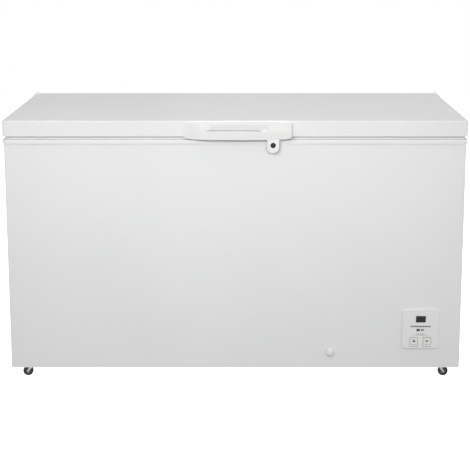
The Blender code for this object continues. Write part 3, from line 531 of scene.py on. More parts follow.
# The tub's side view is a path with round corners. Across the tub that path is drawn in by the corner radius
# times (1 - cos) as it nears the front and back walls, which are flat caps.
def makeTub():
    halfX, halfY = tub["mouth"]
    stepX, stepZ = tub["step"]
    top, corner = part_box("inner_liner")[1].z, tub["corner"]
    corners = [(-halfX, top), (-halfX, tub["floor"]), (stepX, tub["floor"]), (stepX, stepZ), (halfX, stepZ),
               (halfX, top)]
    path = eased(corners, (corner * 1.02, corner * 1.02, corner, corner * 1.02), 8)
    side = np.gradient(path, axis=0)
    side /= np.linalg.norm(side, axis=1, keepdims=True)
    inward = np.stack([-side[:, 1], side[:, 0]], -1)
    inward[0] = inward[1] = (1, 0)
    inward[-1] = inward[-2] = (-1, 0)
    turn = np.linspace(0, math.pi / 2, 9)
    drawn = np.concatenate([corner * (1 - np.sin(turn)), corner * (1 - np.sin(turn[::-1]))])[:, None, None]
    across = np.concatenate([-halfY + corner * (1 - np.cos(turn)), halfY - corner * (1 - np.cos(turn[::-1]))])
    profile = path[None] + inward[None] * drawn
    points = np.stack([profile[..., 0], np.broadcast_to(across[:, None], profile.shape[:2]),
                       profile[..., 1]], -1)
    channel = grid(points)
    count = len(path)
    channel[1].extend([list(range(count)), list(range(len(channel[0]) - count, len(channel[0])))])
    sheet = build("tub_liner", [channel], embossedAluminium, "cabinet",
                  ("inner_liner",))
    wall = sheet.modifiers.new("Solidify", "SOLIDIFY")
    wall.thickness, wall.offset, wall.use_even_offset = tub["sheet"], -1.0 if facesIn(sheet) else 1.0, True
    low = top - tub["sheet"]
    rim = [(0.0, low), (0.0, top), (tub["flange"], top), (tub["flange"], low)]
    reach = tub["flange"]
    build("tub_flange", [carriedRound(halfX + reach, halfY + reach, corner + reach, rim, wrapRows=True)],
          embossedAluminium, "cabinet", ("inner_liner",))


# Whether the faces of an open shell point at its middle.
def facesIn(piece):
    centre = sum((Vector(face.center) for face in piece.data.polygons), Vector()) / len(piece.data.polygons)
    return sum(face.normal.dot(centre - face.center) * face.area for face in piece.data.polygons) > 0


backSheet = {"cover": ((0.445, 0.700), (0.075, 0.315)), "swageZ": (0.16, 0.36, 0.56),
             "swageX": (-0.62, 0.38), "swage": (0.0022, 0.009), "plugs": (-0.46, -0.02, 0.36), "plugZ": 0.46,
             "screwX": 0.700, "screwZ": (0.07, 0.28, 0.50, 0.74),
             "lowScrews": ((-0.42, -0.14, 0.14, 0.40), 0.062)}


# Flat sheet with an opening; pressed swages as long low half-round ridges; caps where the foam was poured in.
def makeBack():
    low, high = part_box("back_panel")
    (x0, x1), (z0, z1) = backSheet["cover"]
    ring = outline((high.x - low.x) / 2, (high.z - low.z) / 2, 0.003, (0.0, (low.z + high.z) / 2))
    hole = outline((x1 - x0) / 2, (z1 - z0) / 2, 0.006, ((x0 + x1) / 2, (z0 + z1) / 2))
    patches = plate([(ring, high.y), (ring, low.y)], [hole])
    build("back_sheet", patches, galvanisedSteel, "cabinet", ("back_panel",))
    start, end = backSheet["swageX"]
    tall, wide = backSheet["swage"]
    u = np.linspace(-1, 1, 41)[:, None]
    angle = np.linspace(0, math.pi, 13)[None, :]
    ridges = []
    for z in backSheet["swageZ"]:
        reach = np.sqrt(np.clip(1 - np.abs(u) ** 40, 0, 1))
        x = (start + end) / 2 + (end - start) / 2 * u + 0 * angle
        y = high.y + 0.0002 + tall * reach * np.sin(angle)
        points = np.stack([x, y, z + wide * reach * np.cos(angle)], -1)
        ridges.append(grid(points, wrapCols=True))
    build("back_swages", ridges, galvanisedSteel, "cabinet")
    cap = [(0.0, high.y + 0.0030), (0.009, high.y + 0.0030), (0.011, high.y + 0.0022),
           (0.016, high.y + 0.0018), (0.018, high.y + 0.0008), (0.018, high.y + 0.0002),
           (0.0, high.y + 0.0002)]
    build("pour_caps", [turned(cap, (x, backSheet["plugZ"])) for x in backSheet["plugs"]],
          whitePlastic, "cabinet")
    across, level = backSheet["lowScrews"]
    places = [(sx * backSheet["screwX"], z) for sx in (-1, 1) for z in backSheet["screwZ"]]
    places += [(x, level) for x in across]
    build("back_screws", [screw(place, high.y + 0.0001, 1) for place in places], brightSteel, "cabinet")


cover = {"slots": 9, "slotZ": (0.140, 0.300), "slotX": (0.465, 0.680), "slot": 0.006,
         "cord": ((0.470, 0.095), 0.0065), "hood": 0.0042, "screws": (0.132, 0.126)}


# A plate with level slots, a hood over each slot as a thin strip that leans out, and a screw at each corner.
def makeRearCover():
    low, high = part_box("rear_cover")
    centre = ((low.x + high.x) / 2, (low.z + high.z) / 2)
    ring = outline((high.x - low.x) / 2, (high.z - low.z) / 2, 0.006, centre)
    inner = outline((high.x - low.x) / 2 - 0.0006, (high.z - low.z) / 2 - 0.0006, 0.0054, centre)
    (z0, z1), (x0, x1) = cover["slotZ"], cover["slotX"]
    levels = z0 + (z1 - z0) * (np.arange(cover["slots"]) + 0.5) / cover["slots"]
    slots = [outline((x1 - x0) / 2, cover["slot"] / 2, 0.0028, ((x0 + x1) / 2, z)) for z in levels]
    slots.append(disc(cover["cord"][1], cover["cord"][0]))
    build("rear_cover_plate", plate([(inner, high.y), (ring, high.y - 0.0006), (ring, low.y)], slots),
          galvanisedSteel, "cabinet", ("rear_cover",))
    t = np.linspace(0, 1, 9)
    hoods = []
    for z in levels:
        outer = np.stack([high.y - 0.0004 + cover["hood"] * np.sin(t * math.pi / 2), z + 0.0062 - 0.008 * t],
                         -1)
        strip = np.vstack([outer, outer[::-1] + np.array([-0.0007, -0.0005])])
        ends = np.array([[x0 - 0.003], [x0 + 0.004], [x1 - 0.004], [x1 + 0.003]])
        squeeze = np.array([[0.15], [1.0], [1.0], [0.15]])
        y = high.y - 0.0004 + (strip[:, 0] - high.y + 0.0004) * squeeze
        hoods.append(grid(np.stack(np.broadcast_arrays(ends, y, strip[:, 1]), -1), wrapCols=True, caps=True))
    build("rear_cover_hoods", hoods, galvanisedSteel, "cabinet")
    awayX, awayZ = cover["screws"]
    places = [(centre[0] + sx * awayX, centre[1] + sz * awayZ) for sx in (-1, 1) for sz in (-1, 1)]
    build("rear_cover_screws", [screw(place, high.y + 0.0001, 1) for place in places],
          brightSteel, "cabinet")
    gland = [(0.0095, 0.3492), (0.0092, 0.3530), (0.0085, 0.3555), (0.0068, 0.3565), (0.0048, 0.3562),
             (0.0040, 0.3548), (0.0040, 0.3400), (0.0078, 0.3400), (0.0078, 0.3440), (0.0060, 0.3450),
             (0.0060, 0.3492)]
    build("cord_bush", [turned(gland, cover["cord"][0], wrapRows=True)],
          blackPlastic, "cabinet", ("cord_gland",))


grille = {"slots": 8, "slotZ": (0.100, 0.280), "slotY": (-0.140, 0.200), "slot": 0.010, "bar": 0.004,
          "lean": 0.011, "blade": 0.009}


# A moulded plate with level slots, and behind each slot a blade that leans down towards the inside.
def makeGrille():
    low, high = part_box("side_grille")
    centre = ((low.y + high.y) / 2, (low.z + high.z) / 2)
    half = ((high.y - low.y) / 2, (high.z - low.z) / 2)
    rings = [(outline(half[0] - 0.0008, half[1] - 0.0008, 0.0072, centre), high.x),
             (outline(*half, 0.008, centre), high.x - 0.0008), (outline(*half, 0.008, centre), low.x)]
    (z0, z1), (y0, y1) = grille["slotZ"], grille["slotY"]
    levels = z0 + (z1 - z0) * (np.arange(grille["slots"]) + 0.5) / grille["slots"]
    middle, reach = (y0 + y1) / 2, (y1 - y0) / 2
    slots = []
    for way in (-1, 1):
        cell, place = (reach - grille["bar"]) / 2, middle + way * (reach + grille["bar"]) / 2
        slots += [outline(cell, grille["slot"] / 2, 0.003, (place, z)) for z in levels]
    blades = []
    for z in levels:
        lean, far = grille["lean"], low.x - grille["blade"]
        shape = np.array([(low.x + 0.0005, z - 0.0046), (low.x + 0.0005, z - 0.0034),
                          (far, z - 0.0034 + lean), (far, z - 0.0046 + lean)])
        y = np.array([[y0 + 0.001], [y1 - 0.001]])
        blades.append(grid(np.stack(np.broadcast_arrays(shape[:, 0], y, shape[:, 1]), -1), wrapCols=True,
                           caps=True))
    build("vent_grille", plate(rings, slots, "yz"), whitePlastic, "cabinet",
          ("side_grille",))
    build("vent_blades", blades, whitePlastic, "cabinet")


compressor = {"centre": (0.575, 0.170), "stretch": (1.06, 0.86), "weld": 0.148}


# The sealed shell is a turned profile made oval, with a raised weld bead round its middle.
def makeCompressor():
    centre, stretch = compressor["centre"], compressor["stretch"]
    low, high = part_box("compressor_shell")
    weld = compressor["weld"]
    body = eased([(0.0, low.z), (0.050, low.z), (0.070, low.z + 0.010), (0.0745, weld - 0.004),
                  (0.0745, weld - 0.003), (0.0735, weld + 0.006), (0.070, high.z - 0.033),
                  (0.050, high.z - 0.004), (0.0, high.z)],
                 (0.006, 0.010, 0.001, 0.001, 0.004, 0.012, 0.010), 6)
    bead = [(0.0735, weld - 0.003), (0.0755, weld - 0.0022), (0.0758, weld), (0.0755, weld + 0.0022),
            (0.0728, weld + 0.003)]
    build("compressor_can", [turned(body, centre, "xy", 64, stretch)],
          blackEnamel, "cabinet", ("compressor_shell",))
    build("compressor_weld", [turned(bead, centre, "xy", 64, stretch, wrapRows=True)],
          blackEnamel, "cabinet")
    low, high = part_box("terminal_cover")
    middle, half = (low + high) / 2, (high - low) / 2
    ribs = [(0.0015, low.z), (0.0, low.z + 0.0015)]
    for z in np.arange(low.z + 0.010, high.z - 0.008, 0.010):
        ribs += [(0.0, z), (0.0009, z + 0.0012), (0.0009, z + 0.0024), (0.0, z + 0.0036)]
    ribs += [(0.0, high.z - 0.0015), (0.0015, high.z)]
    build("terminal_box", [carriedRound(half.x, half.y, 0.006, ribs, (middle.x, middle.y), caps=True)],
          blackPlastic, "cabinet", ("terminal_cover",))
    low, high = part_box("drier_filter")
    x, y = (low.x + high.x) / 2, (low.y + high.y) / 2
    body = eased([(0.0, low.z), (0.0028, low.z), (0.0028, low.z + 0.012), (0.0088, low.z + 0.024),
                  (0.0088, high.z - 0.056), (0.0028, high.z - 0.044), (0.0028, high.z), (0.0, high.z)],
                 (0.0004, 0.003, 0.005, 0.005, 0.003, 0.0004), 6)
    build("drier", [turned(body, (x, y), "xy", 32)], copper, "cabinet", ("drier_filter",))
    softened("suction_line", "suction_pipe", copper, "cabinet", levels=1)
    softened("discharge_line", "discharge_pipe", copper, "cabinet", levels=1)
    softened("compressor_mounts", "compressor_feet", blackEnamel, "cabinet")
    softened("compressor_pan", "compressor_tray", galvanisedSteel, "cabinet")
    softened("machine_wall", "machine_bulkhead", galvanisedSteel, "cabinet", 0.0002)
    softened("floor_pan", "base_pan", galvanisedSteel, "cabinet", 0.0004)


panel = {"bevel": 0.0014, "rise": 0.0010, "corner": 0.011, "display": (0.0160, 0.0109, 0.0022),
         "displayRise": 0.0331, "keyCorner": 0.0030, "gap": 0.0003, "ink": 0.00012}


# A node's middle and its half sizes.
def middleOf(node):
    low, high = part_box(node)
    return (low + high) / 2, (high - low) / 2


digit = {"wide": 0.0034, "tall": 0.0064, "thick": 0.0007, "fill": 0.88, "place": 0.0056}
mark = {"scaleUp": 0.0094, "bars": 13, "pitch": 0.0050, "bar": 0.0038, "thick": 0.0009}


# The fascia's front is inset by the bevel. Its openings are the display's and the two keys'.
def makeFascia():
    middle, half = middleOf("control_fascia")
    low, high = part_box("control_fascia")
    centre, bevel, corner = (middle.x, middle.z), panel["bevel"], panel["corner"]
    t = np.linspace(0, 1, 5)
    rings = [(outline(half.x - bevel * (1 - s) ** 0.8, half.z - bevel * (1 - s) ** 0.8,
                      corner - bevel * (1 - s), centre),
              low.y + panel["rise"] * s) for s in t]
    rings += [(outline(half.x, half.z, corner, centre), high.y - 0.0012)]
    rings += [(outline(half.x - 0.0009, half.z - 0.0009, corner - 0.0009, centre), depth)
              for depth in (high.y - 0.0011, high.y)]
    halfX, halfZ, radius = panel["display"]
    openings = [outline(halfX, halfZ, radius, (middle.x, middle.z + panel["displayRise"]))]
    for side in ("left", "right"):
        place, size = middleOf(f"button_{side}")
        reach = panel["gap"]
        openings.append(outline(size.x + reach, size.z + reach, panel["keyCorner"], (place.x, place.z)))
    build("fascia", plate(rings, openings), whitePlastic, "cabinet", ("control_fascia",))


# The window is a slab with softened edges. On its face, unlit bars of two digits show faintly.
def makeDisplay():
    middle, half = middleOf("display_window")
    low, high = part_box("display_window")
    centre = (middle.x, middle.z)
    profile = [(0.0, high.y), (0.0, low.y + 0.0005), (0.0002, low.y + 0.0002), (0.0006, low.y)]
    build("display_glass", [carriedRound(half.x, half.z, 0.0020, profile, centre, "xz", caps=True)],
          darkWindow, "cabinet", ("display_window",))
    wide, tall, fill = digit["wide"], digit["tall"], digit["fill"]
    bar = np.array([(-1, 0), (-0.8, 1), (0.8, 1), (1, 0), (0.8, -1), (-0.8, -1)])
    level, upright = bar * (wide * fill, digit["thick"]), bar[:, ::-1] * (digit["thick"], tall / 2 * fill)
    digits = []
    for x in (-digit["place"], digit["place"]):
        bars = [level + (x, z) for z in (-tall, 0.0, tall)]
        bars += [upright + (x + sx * wide, sz * tall / 2) for sx in (-1, 1) for sz in (-1, 1)]
        digits += [prism(shape + centre, low.y - 0.00006, low.y - 0.00001) for shape in bars]
    build("display_digits", digits, dimSegment, "cabinet")


# Marks printed on the fascia: an even level scale, a lamp with two
# ticks, a row of dashes, and a line that joins the two keys.
def makePrint():
    middle = middleOf("control_fascia")[0]
    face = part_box("control_fascia")[0].y
    left, right = middleOf("button_left")[0], middleOf("button_right")[0]
    x, z = middle.x, middle.z

    def bar(x0, x1, z0, z1):
        return prism([(x0, z0), (x1, z0), (x1, z1), (x0, z1)], face - panel["ink"], face - 0.00001)

    scaleZ, thick = z + mark["scaleUp"], mark["thick"]
    starts = [x - 0.0324 + i * mark["pitch"] for i in range(mark["bars"])]
    dark = [bar(start, start + mark["bar"], scaleZ - 0.0024, scaleZ + 0.0020) for start in starts]
    u, v = rectangle(0.0060, 0.0040, 0.0039)
    dark.append(prism(np.stack([x - 0.0080 + u, z - 0.0026 + v], -1), face - panel["ink"], face - 0.00001))
    dark += [bar(x + 0.0012 + i * 0.0052, x + 0.0048 + i * 0.0052, z - 0.0058, z + 0.0010) for i in (0, 1)]
    build("panel_marks", dark, darkPrint, "cabinet")
    grey = [bar(x - 0.0140 + i * 0.0056, x - 0.0096 + i * 0.0056, z - 0.0182, z - 0.0152) for i in range(5)]
    lineZ, drop = z - 0.0216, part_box("button_left")[1].z + 0.0007
    grey.append(bar(left.x, right.x, lineZ, lineZ + thick))
    grey += [bar(key.x - thick / 2, key.x + thick / 2, drop, lineZ - 0.0002) for key in (left, right)]
    build("panel_lines", grey, greyPrint, "cabinet")


key = {"corner": 0.0026, "line": 0.0009, "dish": 0.00025, "edge": 0.0004}


# A key is a slab with rounded edges round a slightly dished face. Each carries a printed outline and a sign.
def makeKeys():
    for side in ("left", "right"):
        middle, half = middleOf(f"button_{side}")
        low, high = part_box(f"button_{side}")
        centre, edge, dish = (middle.x, middle.z), key["edge"], key["dish"]
        profile = eased([(0.0, high.y), (0.0, low.y), (0.0016, low.y), (0.0020, low.y + dish),
                         (0.0040, low.y + dish)],
                        (edge, 0.0002, 0.0002), 4)
        cap = carriedRound(half.x, half.z, key["corner"], profile, centre, "xz", caps=True)
        build(f"key_cap_{side}", [cap],
              whitePlastic, f"key_{side}", (f"button_{side}",))
        depths = (low.y - 0.00010, low.y + 0.0001)
        line = [outline(half.x - inset, half.z - inset, key["corner"] - inset, centre)
                for inset in (0.0004, 0.0004 + key["line"])]
        marks = plate([(line[0], depths[0]), (line[0], depths[1])], [line[1]])
        sign, face = (centre[0], centre[1] + 0.0026), (low.y + dish - 0.00016, low.y + dish - 0.00001)
        if side == "left":
            shapes = [disc(0.0021, sign, 60, 3, 1.65, 1.6)]
        else:
            shapes = [disc(0.0016, sign, 72, 6, 2.5, 3.0)]
        shapes += [outline(0.0017, 0.0006, 0.0002, (centre[0] + x, centre[1] - 0.0084), 2)
                   for x in (-0.0042, 0.0, 0.0042)]
        build(f"key_sign_{side}", marks + [prism(shape, *face) for shape in shapes],
              darkPrint, f"key_{side}")


drain = {"notch": 0.0030, "notchDeep": 0.22, "gripWide": 0.0019, "gripRise": 0.000585}


# The dial is a turned dome with a raised bar across it. Its skirt is cut back where the water leaves.
def makeDrain():
    low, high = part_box("drain_dial")
    centre = ((low.x + high.x) / 2, (low.z + high.z) / 2)
    radius = (high.x - low.x) / 2
    profile = eased([(0.0, high.y), (radius - 0.0004, high.y), (radius, high.y - 0.0015),
                     (radius, high.y - 0.0050), (radius - 0.0024, low.y + 0.0012), (0.0, low.y + 0.0006)],
                     (0.0006, 0.0006, 0.0022, 0.0030), 8)
    points, faces = turned(profile, centre, sides=96)
    offset = points - (centre[0], 0, centre[1])
    reach = np.hypot(offset[:, 0], offset[:, 2])
    rim = smoothStep(reach, 0.0080, 0.0102)
    below = np.exp(-((offset[:, 0] / drain["notch"]) ** 4)) * (offset[:, 2] < 0) * rim
    points[:, 0] -= offset[:, 0] * drain["notchDeep"] * below
    points[:, 2] -= offset[:, 2] * drain["notchDeep"] * below
    grip = np.exp(-((offset[:, 0] / drain["gripWide"]) ** 4)) * (1 - smoothStep(reach, 0.0070, 0.0105))
    points[:, 1] -= drain["gripRise"] * grip * (points[:, 1] < high.y - 0.004)
    build("drain_knob", [(points, faces)], whitePlastic, "drain_dial", ("drain_dial",),
          smooth=50)
    spout = [(0.0070, -0.3000), (0.0070, -0.3466), (0.0098, -0.3468), (0.0105, -0.3472), (0.0105, -0.3482),
             (0.0100, -0.3486), (0.0056, -0.3486), (0.0050, -0.3480), (0.0050, -0.3000)]
    build("drain_outlet", [turned(spout, centre, wrapRows=True)], whitePlastic, "drain_spout",
          ("drain_spout",))
    low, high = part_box("drain_plug")
    centre = ((low.x + high.x) / 2, (low.y + high.y) / 2)
    stopper = eased([(0.0, low.z), (0.0062, low.z), (0.0066, 0.1205), (0.0125, 0.1205), (0.0135, 0.1225),
                     (0.0120, 0.1252), (0.0050, 0.1252), (0.0040, high.z), (0.0, high.z)],
                    (0.0006, 0.0004, 0.0006, 0.0010, 0.0010, 0.0008, 0.0004), 5)
    build("drain_stopper", [turned(stopper, centre, "xy")], sealRubber, "drain_plug",
          ("drain_plug",))


lid = {"corner": 0.012, "sheet": 0.0006, "edge": 0.0022, "hem": 0.006, "lining": (0.088, 0.098),
       "flange": 0.8008, "liningSheet": 0.0013, "liningGrid": (201, 113), "fillingGrid": (121, 61),
       "recess": 0.005, "fields": ((-0.425, 0.205), (0.0, 0.205), (0.425, 0.205)), "fieldY": 0.175}


# The skin: hem, wall, round top edge and flat top, outside and inside a sheet's thickness apart.
def makeLidSkin():
    low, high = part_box("lid_skin")
    sheet, edge, hem = lid["sheet"], lid["edge"], lid["hem"]
    outer = eased([(hem, low.z), (0.0, low.z), (0.0, high.z), (0.05, high.z)], (0.0010, edge), 10)
    inner = eased([(hem, low.z + sheet), (sheet, low.z + sheet), (sheet, high.z - sheet),
                   (0.05, high.z - sheet)],
                  (0.0006, edge - sheet), 10)
    profile = np.vstack([inner[::-1], outer])
    build("lid_cover", [carriedRound(high.x, high.y, lid["corner"], profile, caps=True)],
          whiteEnamel, "lid", ("lid_skin",))


# Distance inside a round-cornered rectangle, as an array: positive inside.
def inside(x, y, halfX, halfY, radius):
    qx, qy = np.abs(x) - halfX + radius, np.abs(y) - halfY + radius
    return radius - np.hypot(np.maximum(qx, 0), np.maximum(qy, 0)) - np.minimum(np.maximum(qx, qy), 0)


# Underside of the lining: a flange, a step down by a smooth ramp, and three shallow fields in its middle.
def liningHeight(x, y, low, high):
    start, end = lid["lining"]
    deep = inside(x, y, high.x + 0.0015, high.y + 0.0015, 0.012)
    height = lid["flange"] - (lid["flange"] - low.z) * smoothStep(deep, start, end)
    for centre, half in lid["fields"]:
        depth = inside(x - centre, y, half, lid["fieldY"], 0.04)
        height = height + lid["recess"] * smoothStep(depth, 0.0, 0.008)
    return height


# The points round the edge of a grid, in order.
def rimOf(rows, cols):
    first, last = np.arange(cols), (rows - 1) * cols + np.arange(cols)
    down = np.arange(1, rows - 1) * cols
    return np.concatenate([first, down + cols - 1, last[::-1], down[::-1]])


# Two grids of points become a closed body, with a belt between their rims.
def closedBy(under, over):
    rim = rimOf(*under.shape[:2])
    belt = np.stack([under.reshape(-1, 3)[rim], over.reshape(-1, 3)[rim]])
    return [grid(under), grid(over), grid(belt, wrapCols=True)]


# The lining has one thickness all over. The filling's top is
# flat, and its underside stays clear of the lining.
def makeLidLining():
    low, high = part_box("lid_liner")
    u, v = (np.linspace(-1, 1, count) for count in lid["liningGrid"])
    x, y = np.meshgrid(high.x * u, high.y * v, indexing="ij")
    z = liningHeight(x, y, low, high)
    under, over = np.stack([x, y, z], -1), np.stack([x, y, z + lid["liningSheet"]], -1)
    build("lid_lining", closedBy(under, over), lidLining, "lid", ("lid_liner",), smooth=60)
    u, v = (np.linspace(-1, 1, count) for count in lid["fillingGrid"])
    x, y = np.meshgrid((high.x - 0.004) * u, (high.y - 0.004) * v, indexing="ij")
    under = np.stack([x, y, np.maximum(liningHeight(x, y, low, high) + 0.0022, low.z + 0.0020)], -1)
    over = np.stack([x, y, np.full_like(x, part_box("lid_foam")[1].z)], -1)
    build("lid_filling", closedBy(under, over), foam, "lid", ("lid_foam",))


# The seal's section: a magnet tube that rests on the collar, two
# folds of bellows, and the dart held by the lid.
def makeGasket():
    low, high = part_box("lid_gasket")
    inset, z = 0.008, low.z
    outside = [(0.0012, z), (0.0004, z + 0.0008), (0.0004, z + 0.0030), (0.0024, z + 0.0040),
               (0.0002, z + 0.0052), (0.0000, z + 0.0066), (0.0024, z + 0.0080), (0.0030, high.z)]
    inner = [(0.0150, high.z), (0.0156, z + 0.0080), (0.0180, z + 0.0066), (0.0178, z + 0.0052),
             (0.0156, z + 0.0040), (0.0176, z + 0.0030), (0.0176, z + 0.0008), (0.0168, z)]
    section = eased(outside + inner + [outside[0]], 0.0004, 3)[:-1] + (inset, 0.0)
    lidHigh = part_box("lid_skin")[1]
    build("lid_seal", [carriedRound(lidHigh.x, lidHigh.y, 0.020, section, steps=10, wrapRows=True)],
          sealRubber, "lid", ("lid_gasket",), smooth=60)


handle = {"bottom": 0.7905, "lip": 0.8192, "topRound": 0.0026, "cornerWide": 0.024, "cornerTall": 0.009,
          "belly": 0.003, "endRound": 0.0028, "edgeRound": 0.0032, "slope": 0.0026, "fair": 0.062,
          "scoop": (-0.080, 0.110), "scoopTop": 0.8405, "scoopDeep": 0.0036, "groove": 0.0065,
          "grooveTall": 0.0015, "pocket": (0.085, -0.3655, -0.3515, 0.816)}


# Each column of the handle is a closed section. Its front stands off the lid by a depth that is full up to
# the lip and eases off above it. The scoop is a hollow that leans out towards its top, with a deep groove
# behind the lip. The left end is faired into the lid. The underside runs back along the belly and up into
# the pocket for the fingers.
def makeHandle():
    low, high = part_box("lid_handle")
    back, full = high.y, high.y - low.y
    halfX, centre = (high.x - low.x) / 2, (low.x + high.x) / 2
    s = np.linspace(-1, 1, 241)
    x = (halfX * (0.72 * s + 0.28 * np.sin(math.pi / 2 * s)))[:, None]
    fromEnd = halfX - np.abs(x)
    wide, tall, ends = handle["cornerWide"], handle["cornerTall"], handle["topRound"]

    def arc(reach, away):
        return 1 - np.sqrt(np.clip(1 - np.clip((reach - away) / reach, 0, 1) ** 2, 0, 1))

    bottom = handle["bottom"] + handle["belly"] * (x / halfX) ** 2 + tall * arc(wide, fromEnd)
    top = high.z - ends * arc(ends, fromEnd)
    z = bottom + (top - bottom) * np.linspace(1, 0, 121)[None, :]
    lip, edge = handle["lip"], handle["edgeRound"]
    depth = full - handle["slope"] * smoothStep(z, lip - 0.004, high.z)
    depth -= edge * arc(edge, z - bottom) + (depth - 0.0008) * arc(ends, top - z)
    first, last = handle["scoop"]
    across = smoothStep(x + centre, first, first + 0.010) * (1 - smoothStep(x + centre, last - 0.014, last))
    hollow = handle["scoopDeep"] * (1 - smoothStep(z, lip + 0.002, handle["scoopTop"])) * (z > lip)
    grooved = smoothStep(x + centre, first - 0.009, first - 0.006)
    grooved = grooved * (1 - smoothStep(x + centre, last - 0.034, last - 0.028))
    groove = handle["groove"] * np.exp(-(((z - lip - handle["grooveTall"]) / handle["grooveTall"]) ** 4))
    depth -= across * hollow + grooved * groove
    fair = smoothStep(x, -halfX, -halfX + handle["fair"])
    depth *= 0.14 + 0.86 * fair
    depth = np.clip(depth, 0.0006, full) * (1 - 0.16 * arc(handle["endRound"], fromEnd))
    pocketHalf, near, far, roof = handle["pocket"]
    opened = smoothStep(pocketHalf - np.abs(x), 0.0, 0.0025)
    floor = bottom + 0 * x
    ceiling = floor + (roof - floor) * opened
    inner = np.maximum(near, back - depth[:, -1:] + 0.0010) + 0 * x
    inner = np.minimum(inner, far - 0.0005)
    section = [(back + 0 * x, top), (back - depth, z), (inner, floor), (inner, ceiling),
               (far + 0 * x, ceiling), (far + 0 * x, floor), (back + 0 * x, floor)]
    y = np.concatenate([part[0] for part in section], axis=1)
    z = np.concatenate([np.broadcast_to(part[1], part[0].shape) for part in section], axis=1)
    points = np.stack([np.broadcast_to(x + centre, y.shape), y, z], -1)
    build("handle_grip", [grid(points, wrapCols=True, caps=True)], gripPlastic, "lid",
          ("lid_handle",), smooth=46)


lockTab = {"half": 0.019, "shoulder": 0.7699, "top": 0.800, "bore": 0.0084, "wall": 0.005, "round": 0.0010,
           "roof": 0.792, "back": -0.3517}


# The tab is a strip with a round lower end: a front plate bored for the lock, and a wall behind its edge.
def makeLockTab():
    lockLow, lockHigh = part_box("lock_sleeve")
    x, z = (lockLow.x + lockHigh.x) / 2, (lockLow.z + lockHigh.z) / 2
    front, back = lockLow.y + 0.0007, lockHigh.y

    def tongue(inset):
        angle = math.pi * (1 + np.linspace(0, 1, 33))
        reach = lockTab["half"] - inset
        arcPoints = np.stack([x + reach * np.cos(angle), lockTab["shoulder"] + reach * np.sin(angle)], -1)
        return np.vstack([arcPoints, [(x + reach, lockTab["top"]), (x - reach, lockTab["top"])]])

    t = np.linspace(0, math.pi / 2, 6)
    soft = lockTab["round"]
    rings = [(tongue(soft * (1 - math.sin(a))), front + soft * (1 - math.cos(a))) for a in t]
    rings.append((tongue(0.0), back))
    patches = plate(rings, [disc(lockTab["bore"], (x, z), 48)])
    reach = lockTab["half"] - lockTab["wall"]
    roof = [(x + reach, lockTab["roof"]), (x - reach, lockTab["roof"])]
    hollow = tongue(lockTab["wall"])[:-2].tolist() + roof
    behind = plate([(tongue(0.0), back + 0.0001), (tongue(0.0), lockTab["back"])], [hollow])
    build("lock_tab", patches + behind, whitePlastic, "lid", ("lid_handle",), smooth=46)


# Sleeve with a rounded lip, and the key plug with its slot, a shank behind it and a cam.
def makeLock():
    low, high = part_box("lock_sleeve")
    x, z = (low.x + high.x) / 2, (low.z + high.z) / 2
    sleeve = eased([(0.0066, low.y), (0.0082, low.y), (0.0082, high.y), (0.0054, high.y),
                    (0.0054, low.y + 0.0012), (0.0066, low.y)], (0.0006, 0.0003, 0.0003, 0.0005), 5)[:-1]
    build("lock_barrel", [turned(sleeve, (x, z), wrapRows=True)], blackPlastic, "lid",
          ("lock_sleeve",))
    face = low.y + 0.0008
    slot = outline(0.0006, 0.0032, 0.0005, (x, z))
    wide = disc(0.0051, (x, z), 48)
    rings = [(disc(0.0046, (x, z), 48), face), (wide, face + 0.0004), (wide, -0.3610)]
    shank = [(0.0, -0.3609), (0.0040, -0.3609), (0.0040, -0.3545), (0.0, -0.3545)]
    cam = [(x - 0.0035, z - 0.012), (x + 0.0035, z - 0.012), (x + 0.0035, z), (x - 0.0035, z)]
    build("lock_plug", [*plate(rings, [slot]), turned(shank, (x, z)), prism(cam, -0.3585, -0.3555)],
          lockSteel, "lock", ("lock_cylinder",))
    softened("lock_keeper", "lock_striker", brightSteel, "cabinet", 0.0003)


spring = {"wire": 0.0009, "turns": 38, "radius": 0.0050, "end": 0.008}
leafScrew = {"away": 0.0115, "levels": (0.8375, 0.8215), "face": 0.3530, "radius": 0.0032}
bracketScrew = {"away": 0.0135, "levels": (0.700, 0.752), "face": 0.3494, "radius": 0.0034}


